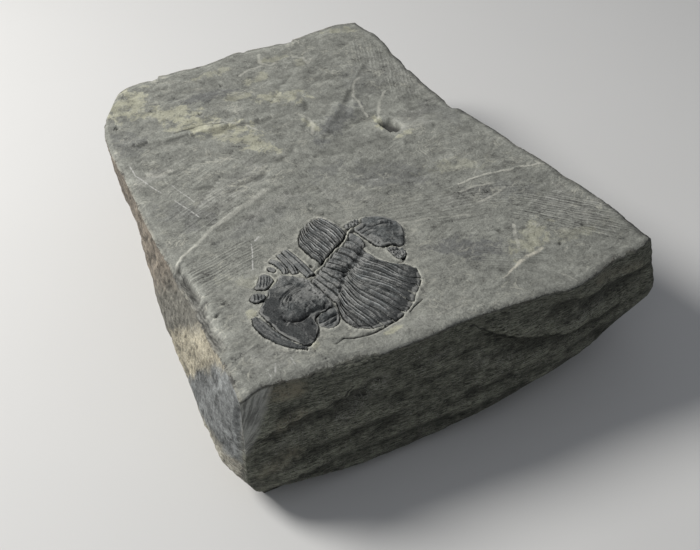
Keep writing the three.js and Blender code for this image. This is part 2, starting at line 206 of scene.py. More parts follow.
def make_object(name, vertices_mm, faces):
    mesh = bpy.data.meshes.new(name)
    mesh.from_pydata((np.asarray(vertices_mm) * MM).tolist(), [], faces)
    mesh.update()
    piece = bpy.data.objects.new(name, mesh)
    bpy.context.scene.collection.objects.link(piece)
    return piece


def vertex_array(mesh):
    flat = np.zeros(len(mesh.vertices) * 3)
    mesh.vertices.foreach_get("co", flat)
    return flat.reshape(-1, 3)


def grid_faces(rows, columns):
    """The four-sided faces of a grid of points."""
    start = (np.arange(rows - 1)[:, None] * columns + np.arange(columns - 1)[None, :]).ravel()
    return np.stack([start, start + 1, start + columns + 1, start + columns], axis=1).tolist()


def grid_outline(rows, columns):
    """The row and column of each point on a grid's edge, once round."""
    row = rows - 1
    column = columns - 1
    places = [(0, i) for i in range(column)] + [(j, column) for j in range(row)]
    places += [(row, i) for i in range(column, 0, -1)] + [(j, 0) for j in range(row, 0, -1)]
    return np.array(places)


def loop_faces(first, second):
    """The four-sided faces between two closed loops of points."""
    return np.stack([first, np.roll(first, -1), np.roll(second, -1), second], axis=1).tolist()


def store_mask(mesh, name, values):
    """Keeps one number for each vertex, which the materials read."""
    layer = mesh.attributes.new(name, "FLOAT", "POINT")
    layer.data.foreach_set("value", np.asarray(values, np.float32))


def smooth_faces(mesh):
    mesh.polygons.foreach_set("use_smooth", [True] * len(mesh.polygons))
    mesh.update()


def finish_piece(piece, nodes, material):
    piece.data.materials.clear()
    piece.data.materials.append(material)
    smooth_faces(piece.data)
    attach(piece, BODY)
    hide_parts(*nodes)


# ---------------------------------------------------------------- shader helpers


def joined(operation, swapped=False):
    """A method that joins a value to another through a math node."""

    def join(self, other):
        return self.graph.math(operation, *((other, self) if swapped else (self, other)))

    return join


class Value:
    """What a shader node gives. The signs +, -, * and / place math nodes."""

    def __init__(self, graph, socket):
        self.graph = graph
        self.socket = socket

    def __abs__(self):
        return self.graph.math("ABSOLUTE", self)

    __add__ = joined("ADD")
    __radd__ = joined("ADD", swapped=True)
    __sub__ = joined("SUBTRACT")
    __rsub__ = joined("SUBTRACT", swapped=True)
    __mul__ = joined("MULTIPLY")
    __rmul__ = joined("MULTIPLY", swapped=True)
    __truediv__ = joined("DIVIDE")
    __rtruediv__ = joined("DIVIDE", swapped=True)


class Placed:
    """A node in a graph, whose outputs are read as node[name]."""

    def __init__(self, graph, node):
        self.graph = graph
        self.node = node
        self.inputs = node.inputs

    def __getitem__(self, name):
        return Value(self.graph, self.node.outputs[name])


class Graph:
    """Short ways to place and join shader nodes in one tree."""

    def __init__(self, tree):
        self.tree = tree

    def feed(self, socket, value):
        if isinstance(value, Value):
            self.tree.links.new(value.socket, socket)
        elif value is not None:
            socket.default_value = value

    def add(self, kind, inputs=None, **settings):
        node = self.tree.nodes.new(kind)
        for key, value in settings.items():
            setattr(node, key, value)
        for key, value in (inputs or {}).items():
            self.feed(node.inputs[key], value)
        return Placed(self, node)

    def math(self, operation, a, b=None):
        return self.add("ShaderNodeMath", {0: a, 1: b}, operation=operation)[0]

    def vector(self, operation, a, b=None, scale=None):
        node = self.add("ShaderNodeVectorMath", {0: a, 1: b, 3: scale}, operation=operation)
        return node["Value" if operation in ("LENGTH", "DOT_PRODUCT") else "Vector"]

    def turned(self, vector, degrees):
        """The vector turned backwards about Z."""
        inputs = {"Vector": vector, "Angle": degrees * (-math.pi / 180)}
        return self.add("ShaderNodeVectorRotate", inputs, rotation_type="Z_AXIS")["Vector"]

    def flattened(self, vector):
        return self.vector("MULTIPLY", vector, (1.0, 1.0, 0.0))

    def combine(self, x, y, z=None):
        return self.add("ShaderNodeCombineXYZ", {0: x, 1: y, 2: z})[0]

    def separate(self, vector):
        return self.add("ShaderNodeSeparateXYZ", {"Vector": vector})

    def ramp(self, value, low, high, start=0.0, end=1.0):
        inputs = {"Value": value, "From Min": low, "From Max": high, "To Min": start, "To Max": end}
        return self.add("ShaderNodeMapRange", inputs, interpolation_type="SMOOTHSTEP")["Result"]

    def mix(self, factor, a, b, blend="MIX"):
        return self.add("ShaderNodeMix", {0: factor, 6: a, 7: b}, data_type="RGBA", blend_type=blend)[2]

    def noise(self, vector, scale, detail=4.0, roughness=0.55, distortion=0.0):
        numbers = {"Scale": scale, "Detail": detail, "Roughness": roughness, "Distortion": distortion}
        return self.add("ShaderNodeTexNoise", {"Vector": vector, **numbers})["Fac"]

    def shade(self, colour, level):
        """The colour made darker or lighter by a level about 1."""
        return self.mix(1.0, colour, self.combine(level, level, level), "MULTIPLY")

    def bump(self, shader, strength, distance, height):
        inputs = {"Strength": strength, "Distance": distance, "Height": height}
        self.feed(shader.inputs["Normal"], self.add("ShaderNodeBump", inputs)["Normal"])

    def strongest(self, masks):
        """The largest of several masks."""
        total = masks[0]
        for mask in masks[1:]:
            total = self.math("MAXIMUM", total, mask)
        return total

    def mask(self, name):
        return self.add("ShaderNodeAttribute", attribute_name=name)["Fac"]

    def group(self, name, position, **values):
        """A shared effect, whose node group is built the first time that it is asked for."""
        tree = bpy.data.node_groups.get(name) or EFFECTS[name]()
        return self.add("ShaderNodeGroup", {"Position": position, **values}, node_tree=tree)


def new_group(name, inputs, outputs):
    """An empty node group, and the graph, entry and exit to fill it with.

    inputs holds the default of each input, or None for a vector. Position comes before them.
    """
    tree = bpy.data.node_groups.new(name, "ShaderNodeTree")
    for socket, default in {"Position": None, **inputs}.items():
        kind = "NodeSocketVector" if default is None else "NodeSocketFloat"
        made = tree.interface.new_socket(socket, in_out="INPUT", socket_type=kind)
        if default is not None:
            made.default_value = default
    for socket in outputs:
        tree.interface.new_socket(socket, in_out="OUTPUT", socket_type="NodeSocketFloat")
    graph = Graph(tree)
    return tree, graph, graph.add("NodeGroupInput"), graph.add("NodeGroupOutput").inputs


def stone_grain_group():
    """Fine mineral grain: a shade that varies about 0, a height for the bump, and pale specks."""
    inputs = {"Grain": 0.4, "Mottle": 6.0}
    tree, graph, given, out = new_group("Stone Grain", inputs, ["Shade", "Height", "Specks"])
    fine_scale = 1.0 / given["Grain"]
    broad_scale = 1.0 / given["Mottle"]
    fine = graph.noise(given["Position"], fine_scale, 3.0, 0.7) - 0.5
    middle = graph.noise(given["Position"], broad_scale * 4.5, 4.0, 0.6, 0.5) - 0.5
    broad = graph.noise(given["Position"], broad_scale, 5.0, 0.6, 0.8) - 0.5
    graph.feed(out["Shade"], fine + (middle + broad * 0.8))
    graph.feed(out["Height"], fine * 0.8 + middle)
    speck = graph.noise(given["Position"], fine_scale * 1.4, 1.0, 0.5)
    graph.feed(out["Specks"], graph.ramp(speck, 0.66, 0.76))
    return tree


def wisps_group():
    """Thin curling pale lines, where an old break shows through the surface."""
    tree, graph, given, out = new_group("Pale Wisps", {"Size": 4.0, "Sharpness": 0.03}, ["Mask"])
    scale = 1.0 / given["Size"]
    field = graph.noise(given["Position"], scale, 3.0, 0.55, 1.2)
    line = graph.ramp(abs(field - 0.5), given["Sharpness"], 0.0)
    patchy = graph.noise(given["Position"], scale * 0.7, 4.0, 0.6)
    graph.feed(out["Mask"], line * graph.ramp(patchy, 0.47, 0.6))
    return tree


def scraped_lines_group():
    """Fine parallel scrape lines at an angle in plan, as a height about 0.5."""
    inputs = {"Angle": 0.0, "Spacing": 0.6, "Length": 14.0}
    tree, graph, given, out = new_group("Scraped Lines", inputs, ["Height"])
    turned = graph.turned(given["Position"], given["Angle"])
    across = 1.0 / given["Spacing"]
    along = 1.0 / given["Length"]
    stretch = graph.combine(along, across, along)
    stretched = graph.vector("MULTIPLY", turned, stretch)
    uneven = graph.noise(stretched, 1.0, 3.0, 0.6, 0.15)
    # Regular saw marks run through the uneven ones.
    place = graph.separate(stretched)["Y"]
    slide = graph.noise(given["Position"], 0.25, 2.0, 0.5) * 12.0
    regular = graph.math("SINE", place * 4.4 + slide) * (uneven * 0.2)
    graph.feed(out["Height"], uneven + regular)
    return tree


def line_mark_group():
    """A straight scratch or vein from Start to End, uneven in width and strength."""
    inputs = {"Start": None, "End": None, "Width": 0.3, "Strength": 1.0}
    tree, graph, given, out = new_group("Line Mark", inputs, ["Mask"])
    stretch = graph.vector("SUBTRACT", given["End"], given["Start"])
    offset = graph.vector("SUBTRACT", given["Position"], given["Start"])
    share = graph.vector("DOT_PRODUCT", offset, stretch) / graph.vector("DOT_PRODUCT", stretch, stretch)
    held = graph.add("ShaderNodeClamp", {"Value": share})["Result"]
    foot = graph.vector("SCALE", stretch, scale=held)
    distance = graph.vector("LENGTH", graph.vector("SUBTRACT", offset, foot))
    mask = graph.ramp(distance, given["Width"], given["Width"] * 0.25)
    graph.feed(out["Mask"], mask * given["Strength"])
    return tree


def stain_patch_group():
    """A ragged oval stain in plan. Reach is its half length and half width."""
    inputs = {"Centre": None, "Reach": None, "Angle": 0.0, "Ragged": 0.0, "Strength": 1.0}
    tree, graph, given, out = new_group("Stain Patch", inputs, ["Mask"])
    offset = graph.vector("SUBTRACT", given["Position"], given["Centre"])
    turned = graph.turned(offset, given["Angle"])
    scaled = graph.vector("DIVIDE", turned, given["Reach"])
    inside = 1.0 - graph.vector("LENGTH", graph.flattened(scaled))
    mask = graph.ramp(inside + given["Ragged"], 0.0, 0.45)
    graph.feed(out["Mask"], mask * given["Strength"])
    return tree


def dust_and_painted_shade_group():
    """How pale dust and painted shade gather: Dust on edges and in breaks, Painted Shade in the grooves."""
    inputs = {"Hollow": 0.0, "Crest": 0.0, "Amount": 0.5}
    tree, graph, given, out = new_group("Dust And Painted Shade", inputs, ["Dust", "Depth", "Worn"])
    patchy = graph.noise(given["Position"], 0.55, 5.0, 0.6)
    fine = graph.noise(given["Position"], 3.5, 2.0, 0.6)
    spread = patchy * 0.6 + fine * 0.4
    graph.feed(out["Dust"], graph.ramp(spread + given["Amount"] * 0.25, 0.54, 0.74))
    graph.feed(out["Depth"], graph.ramp(given["Hollow"], 0.05, 0.75))
    worn = graph.ramp(given["Crest"], 0.1, 0.9) * graph.ramp(spread, 0.35, 0.65)
    graph.feed(out["Worn"], worn)
    return tree


EFFECTS = {
    "Stone Grain": stone_grain_group,
    "Pale Wisps": wisps_group,
    "Scraped Lines": scraped_lines_group,
    "Line Mark": line_mark_group,
    "Stain Patch": stain_patch_group,
    "Dust And Painted Shade": dust_and_painted_shade_group,
}


def new_material(name):
    material = bpy.data.materials.new(name)
    material.use_nodes = True
    material.node_tree.nodes.clear()
    graph = Graph(material.node_tree)
    coordinates = graph.add("ShaderNodeTexCoord")["Object"]
    position = graph.vector("SCALE", coordinates, scale=1 / MM)
    shader = graph.add("ShaderNodeBsdfPrincipled")
    surface = graph.add("ShaderNodeOutputMaterial")
    graph.feed(surface.inputs["Surface"], shader["BSDF"])
    return material, graph, position, shader


def grey(level, warm=0.0):
    """A nearly neutral colour. warm above 0 leans to tan, below 0 to blue."""
    return (level * (1 + 0.32 * warm), level * (1 + 0.24 * warm), level * (1 - warm), 1.0)


# ---------------------------------------------------------------- settings


class SlabSettings(bpy.types.PropertyGroup):
    fine_step: bpy.props.FloatProperty(
        name="Fine Step",
        description="Mesh spacing round the fossil, in millimetres",
        default=0.23, min=0.15,
    )
    coarse_step: bpy.props.FloatProperty(
        name="Coarse Step",
        description="Mesh spacing elsewhere, in millimetres",
        default=0.93, min=0.3,
    )
    bedding_colour: bpy.props.FloatVectorProperty(
        name="Bedding Plane",
        description="Colour of the split top face",
        default=(0.206, 0.21, 0.188), subtype="COLOR",
    )
    stain_colour: bpy.props.FloatVectorProperty(
        name="Stain",
        description="Colour of the yellow-tan stains",
        default=(0.385, 0.38, 0.287), subtype="COLOR",
    )
    # The near side's colour: its dark fresh break, made darker still as painted shade for the side facing
    # away from the light.
    break_and_shade_colour: bpy.props.FloatVectorProperty(
        name="Fresh Break And Shade",
        description="Colour of the dark broken sides",
        default=(0.1, 0.103, 0.081), subtype="COLOR",
    )
    crust_colour: bpy.props.FloatVectorProperty(
        name="Weathered Crust",
        description="Colour of the cream crust",
        default=(0.345, 0.315, 0.24), subtype="COLOR",
    )


class PlateSettings(bpy.types.PropertyGroup):
    plate_colour: bpy.props.FloatVectorProperty(
        name="Plate",
        description="Colour of the fossil's plates",
        default=(0.075, 0.082, 0.082), subtype="COLOR",
    )
    # Colour of the painted shade in the plates' grooves and down their walls.
    groove_shade_colour: bpy.props.FloatVectorProperty(
        name="Groove Shade",
        description="Colour in the plates' grooves",
        default=(0.012, 0.0135, 0.0145), subtype="COLOR",
    )
    dust_colour: bpy.props.FloatVectorProperty(
        name="Dust",
        description="Colour of rock dust on the plates",
        default=(0.22, 0.222, 0.21), subtype="COLOR",
    )


class StudioSettings(bpy.types.PropertyGroup):
    key_power: bpy.props.FloatProperty(
        name="Key Light", description="Power of the large soft light above", default=3.0, unit="POWER"
    )
    fill_power: bpy.props.FloatProperty(
        name="Fill Light", description="Power of the weak light in front", default=0.5, unit="POWER"
    )
    floor_colour: bpy.props.FloatVectorProperty(
        name="Floor", description="Colour of the floor", default=(0.62, 0.62, 0.61), subtype="COLOR"
    )
    lens: bpy.props.FloatProperty(
        name="Lens", description="Focal length of the camera", default=57.0, unit="CAMERA"
    )


# ---------------------------------------------------------------- shale slab

# The four edges of the slab at three levels: the bedding plane, the widest belt, and the base.
# Belt points carry their own depth below the bedding plane.
SLAB_EDGES = {
    "top": {
        "near": [(-45.6, -56.3), (-41.5, -54.9), (-37, -54.9), (-30, -55.7), (-20, -56.7), (-10, -57.5),
            (0, -57.2), (10, -58), (17, -58.5), (22, -59.4), (28, -58.2), (34, -56.3), (40, -56.3),
            (45, -54.6)],
        "far": [(-30.5, 46.8), (-25.8, 52.6), (-20, 54.3), (-12, 55.4), (-4, 55.5), (2, 57), (7, 58.4),
            (14, 57.5), (22, 57.4), (30, 58.6), (36, 59.4), (41.4, 58)],
        "left": [(-45.6, -56.3), (-44.6, -49), (-43.3, -37), (-42.4, -28), (-42, -17), (-41, -4),
            (-40, 6), (-38.9, 15), (-38.2, 24), (-37.2, 32), (-35, 39.5), (-30.5, 46.8)],
        "right": [(45, -54.6), (45.3, -45), (45.2, -36), (44.1, -28), (43.9, -24), (42.6, -14),
            (41.6, -2), (40.8, 5), (39.6, 12), (39.9, 21), (40.4, 30), (41.3, 39), (42.4, 47),
            (41.4, 58)],
    },
    "belt": {
        "near": [(-45.6, -57, 18.5), (-39, -57.9, 21.5), (-28, -58.2, 24.4), (-15, -58.4, 25.2),
            (-4, -59, 24.4), (7, -60, 22), (16, -59.8, 20.6), (27, -58.4, 19.6), (36, -57.4, 17),
            (45.6, -56.8, 11.5)],
        "far": [(-29.8, 47, 6), (-20, 55.4, 11), (-8, 56.6, 12), (4, 58.4, 12), (18, 58.2, 12),
            (30, 59.2, 11), (42.2, 58.4, 11)],
        "left": [(-45.6, -57, 18.5), (-47.4, -50, 19), (-47, -43, 18), (-46.1, -33, 16.5),
            (-44.9, -23, 14.5), (-43.6, -12, 11), (-41.3, 0, 6.5), (-38.9, 14, 4.5), (-37.7, 25, 4.5),
            (-34.6, 39.4, 5), (-29.8, 47, 6)],
        "right": [(45.6, -56.8, 11.5), (46.2, -45, 12), (45.9, -34, 12), (44.6, -18, 12),
            (42.6, -2, 12), (41, 12, 11), (41.4, 27, 12), (43, 42, 11), (42.2, 58.4, 11)],
    },
    "base": {
        "near": [(-41.4, -53.6), (-28, -54), (-15, -54), (-4, -52.5), (8, -49), (18, -45), (31, -38)],
        "far": [(-22, 42), (-12, 48), (0, 50.5), (14, 51.6), (26, 52.4), (36, 51)],
        "left": [(-41.4, -53.6), (-38.6, -40), (-35.8, -24), (-32, -8), (-29.5, 8), (-27, 26),
            (-22, 42)],
        "right": [(31, -38), (35.5, -28), (37, -14), (36, 2), (35.4, 16), (36.4, 36), (36, 51)],
    },
}

SLAB_WIDTH = 91.0
SLAB_LENGTH = 113.0
# Where the mesh is fine, as shares of the slab's width and length.
FINE_ACROSS = (0.1, 0.55)
FINE_ALONG = (0.03, 0.36)
SIDE_ROWS = 31
BASE_RINGS = 5
ROWS_BELOW = SIDE_ROWS + BASE_RINGS
CORNER_SHARE = 0.03  # how much of an edge a corner takes up
BELT_SHARE = 0.58  # how far down the sides the belt lies


def graded_shares(length, fine, fine_step, coarse_step):
    """Shares from 0 to 1 with fine steps inside the fine stretch and coarse ones outside it."""
    t = np.linspace(0, 1, 2001)
    inside = smoothstep(t, fine[0] - 0.04, fine[0]) * (1 - smoothstep(t, fine[1], fine[1] + 0.06))
    density = length / lerp(coarse_step, fine_step, inside)
    count = np.concatenate([[0], np.cumsum((density[1:] + density[:-1]) / 2 * np.diff(t))])
    steps = int(round(count[-1]))
    return np.interp(np.linspace(0, count[-1], steps + 1), count, t)


def coons_patch(edges, u, v):
    """The place inside four edges that blends them, for shares u across and v along."""
    near, far, left, right = (edges[side] for side in ("near", "far", "left", "right"))
    u1 = u[..., None]
    v1 = v[..., None]
    place = near(u) * (1 - v1) + far(u) * v1 + left(v) * (1 - u1) + right(v) * u1
    zero = np.zeros_like(u)
    one = np.ones_like(u)
    place = place - near(zero) * (1 - u1) * (1 - v1) - near(one) * u1 * (1 - v1)
    return place - far(zero) * (1 - u1) * v1 - far(one) * u1 * v1


def slab_levels():
    levels = {}
    for level, edges in SLAB_EDGES.items():
        levels[level] = {side: smooth_curve(points) for side, points in edges.items()}
    return levels


# The pale seam of rock that stands up between the rings and the loose right pleurae.
FURROW_SEAM = [
    (-18.7, -32), (-17, -31.2), (-14.5, -29.5), (-13.5, -28.7), (-12, -27.8), (-11, -27.3),
    (-10, -26.9), (-9, -26.3), (-8.3, -25.7), (-7.7, -25), (-7.3, -24.2), (-6.8, -23.6), (-6, -23.2),
    (-5, -23.1), (-4, -22.8), (-3, -22.4),
]
# The crack that opened beside the left pleurae, and its branch.
MARGIN_CRACKS = [
    ([(-24.6, -51.2), (-22.7, -50.5), (-20.9, -51.4), (-18.6, -51.9), (-17, -52), (-15.3, -51.8),
     (-12.3, -51.2), (-10.4, -50.6)], 0.17, 0.5),
    ([(-8.9, -50.5), (-7.1, -49.4), (-4.8, -48.4)], 0.15, 0.3),
    ([(-3.5, -36.9), (-2, -36.9), (-0.9, -36.2)], 0.2, 0.5),
]
PIT = {"centre": (22.1, 8), "half": (3.5, 2.0), "angle": 104}
SMALL_PITS = [
    (-18.1, -29.6, 0.4), (20, -38, 0.55), (28, -47, 0.45), (31, 3, 0.4), (-14, 33, 0.5),
    (-37, -31.5, 0.4), (-33, 37, 0.6), (-4, 44, 0.5), (36.5, -44, 0.4), (-40, -34, 0.35),
]
RAISED_SEAMS = [
    ([(-41.5, -18.2), (-38.6, -15), (-35, -13), (-31, -10.2), (-26, -7.6), (-20, -5), (-14, -2.2)],
     0.45, 0.28),
    ([(11.5, -51), (14, -50), (17, -48.6), (21.5, -47.4), (24, -46.8)], 0.5, 0.3),
    ([(22, -20), (26.5, -19.9), (31, -20), (36, -21), (43, -22)], 0.3, 0.15),
]
LEDGES = [
    ([(-26, 27.5), (-20, 28.6), (-12, 27.4), (-6, 25)], 0.3),
    ([(-30, -2), (-14, 3), (-3, 9), (6, 18), (10, 27), (9, 36)], -0.16),
    ([(2, 6), (14, 14), (19, 20), (26, 31)], 0.16), ([(9, -12), (20, -16), (33, -15)], -0.12),
    ([(4, -31), (12, -35), (24, -39)], 0.12),
]


def bedding_relief(x, y, plate_distance):
    """Height of the rock's split face above the bedding plane, from plan positions in mm."""
    flat = flat_points(x, y)
    level = 0.22 * np.sin(x * 0.11 + 0.9) * np.sin(y * 0.085 - 0.4) - 0.05
    level += 0.3 * smoothstep(y - 0.55 * x, -2, 9) * smoothstep(-x, -18, 12)
    level += 0.16 * fractal(flat, 13, 4, 11) + 0.05 * fractal(flat, 2.6, 3, 12)
    flakes = fractal(flat, (9, 5, 1), 4, 13)
    level += 0.1 * smoothstep(flakes, 0.05, 0.12) - 0.07 * smoothstep(flakes, -0.12, -0.2)
    for points, height in LEDGES:
        distance, _ = path_distance(x, y, points)
        wander = 1.2 * noise(flat, 3.0, 17)
        chain = np.array(points, float)
        towards = chain[-1] - chain[0]
        side = (x - chain[0, 0]) * -towards[1] + (y - chain[0, 1]) * towards[0]
        signed = np.sign(side) * distance + wander
        level += height * smoothstep(signed, -0.6, 0.6) * (1 - smoothstep(distance, 3, 12))
    # The rock closes round the plates in a ragged rim, and drops away under them.
    shallow = 1 - smoothstep(plate_distance, 0.5, 6.5)
    level = lerp(level, -0.1 + 0.3 * level, shallow)
    level += shallow * 0.05 * fractal(flat, 1.4, 3, 20)
    rim = 0.02 + 0.22 * fractal(flat, 0.75, 2, 19) + 0.12 * noise(flat, 2.6, 18)
    level = lerp(level, rim, 1 - smoothstep(plate_distance, 0.25, 1.3))
    wandered = x + 0.2 * noise(flat, 0.9, 22), y + 0.2 * noise(flat, 1.0, 24)
    distance, _ = path_distance(*wandered, FURROW_SEAM)
    beside = (1 - smoothstep(distance, 0.7, 1.3)) * (1 - smoothstep(plate_distance, 0.8, 1.4))
    level = lerp(level, -0.26, beside)
    level = np.maximum(level, lerp(-0.4, 0.3 + 0.3 * noise(flat, 0.8, 21), bell(distance, 0.3)))
    open_edge = lerp(0.05, 0.24, smoothstep(fractal(flat, 2.4, 2, 277), -0.25, 0.25))
    level = lerp(-0.64, level, smoothstep(plate_distance, 0.0, open_edge))
    for points, width, depth in MARGIN_CRACKS:
        distance, along = path_distance(x, y, points)
        fade = np.sin(np.pi * np.clip(along, 0.04, 0.96)) ** 0.4
        level -= depth * fade * bell(distance, width)
    for points, width, height in RAISED_SEAMS:
        wander = 0.5 * noise(flat, 2.2, 29)
        distance, _ = path_distance(x + wander, y + wander, points)
        level += height * bell(distance, width) * (0.6 + 0.4 * noise(flat, 1.5, 31))
    pit = ellipse(x + 0.5 * noise(flat, 1.4, 37), y + 0.5 * noise(flat, 1.3, 38), **PIT)
    level -= 1.25 * smoothstep(pit, 0.0, 0.4) - 0.12 * smoothstep(pit, -0.5, -0.1) * (pit < 0)
    for px, py, radius in SMALL_PITS:
        level -= 0.5 * np.exp(-(np.hypot(x - px, y - py) / radius) ** 4)
    return level - 1.1 * left_ledge(x, y) * (1 + 0.5 * fractal(flat, (0.7, 5, 1), 3, 33))


def left_ledge(x, y):
    """Where thin layers have broken off along the left edge."""
    edge = np.array(SLAB_EDGES["top"]["left"])
    flat = flat_points(x, y)
    inward = x - np.interp(y, edge[:, 1], edge[:, 0]) + 0.5 * fractal(flat, 2.2, 3, 34)
    stretch = smoothstep(y, -44.5, -40) * (1 - smoothstep(y, -20, -16))
    return stretch * (1 - smoothstep(inward, 1.3, 1.9))


# Ledges on the front face: depth below the bedding plane along x, and how far the rock above juts out.
FRONT_LEDGES = [
    ([(14, 0.6), (21, 3.4), (26, 4.6), (31, 4.9), (36, 5.1), (46, 5.6)], 0.75),
    ([(1, 2.4), (7, 6), (13, 8.8), (21, 11.4), (25.5, 11.2), (30, 11.7), (38, 11.6)], 1.35),
    ([(-46, 12.6), (-43, 10.4), (-38, 9.2), (-33, 8.7), (-29.7, 8.6), (-26, 7.4), (-19.4, 5)], 0.8),
    ([(-34, 17), (-20, 15.5), (-8, 17.2), (6, 15.8), (18, 17.4)], 0.35),
    ([(-42, 22.5), (-26, 20.6), (-10, 21.8), (8, 20.2)], 0.4),
]


def corner_facet(points, depth, facing):
    """The struck facet at the near left corner."""
    across = smoothstep(-points[:, 0] - 0.5 * depth, 38.2, 39.4)
    around = smoothstep(-points[:, 1] + 2.6 * np.sin(np.pi * np.clip(depth / 12, 0, 1)), 55, 56.5)
    struck = np.maximum(facing["near"] * across, facing["left"] * around)
    return struck * smoothstep(depth, -0.2, 0.8) * (1 - smoothstep(depth, 11.5, 13.5))


def layered(points, depth, stretch):
    """Places with their depth stretched, so that noise over them lies in thin layers."""
    return np.stack([points[:, 0], points[:, 1], depth * stretch], axis=1)


def side_relief(points, depth, facing):
    """How far the broken sides stand out, from places in mm and the depth below the bedding plane."""
    beds = layered(points, depth, 3.2)
    out = 0.75 * fractal(beds, 11, 5, 41)
    terraces = fractal(beds, (14, 14, 7), 3, 43) * 2.4 + depth * 0.55
    out += 0.1 * (np.abs(terraces - np.floor(terraces) - 0.5) * 2 - 0.5)
    out += 0.14 * fractal(layered(points, depth, 2.0), 1.7, 3, 47)
    for line, jut in FRONT_LEDGES:
        chain = np.array(line, float)
        at = np.interp(points[:, 0], chain[:, 0], chain[:, 1]) + 0.35 * noise(points, 2.4, 53)
        ends = smoothstep(points[:, 0], chain[0, 0] - 1, chain[0, 0] + 5)
        ends = ends * (1 - smoothstep(points[:, 0], chain[-1, 0] - 5, chain[-1, 0] + 2))
        above = smoothstep(at - depth, -0.4, 0.7) * np.exp(-np.maximum(at - depth, 0) / 4.5)
        below = smoothstep(depth - at, -0.5, 0.5) * np.exp(-np.maximum(depth - at, 0) / 3.0)
        out += facing["near"] * ends * jut * (0.8 * above - 0.55 * below)
    # The left side is a weathered joint face: smooth near the front, crusty lower down and further back.
    crust = 0.5 * fractal(points, 2.8, 4, 59) + 0.14 * fractal(points, 0.9, 2, 60)
    smooth = (1 - smoothstep(points[:, 1], -40, -34)) * (1 - smoothstep(depth, 12, 16))
    out += facing["left"] * (lerp(crust, 0.12 * crust, smooth) - 0.55 * out)
    # The near left corner was struck off in a smooth facet.
    facet = corner_facet(points, depth, facing)
    bevel = -0.3 - 0.1 * np.clip(-points[:, 0] - 39.6, 0, 6.5) * smoothstep(depth, -1, 3)
    out = lerp(out, bevel + 0.08 * fractal(points, 1.6, 2, 62), facet)
    return out + 0.07 * fractal(layered(points, depth, 2.6), 0.8, 2, 63)


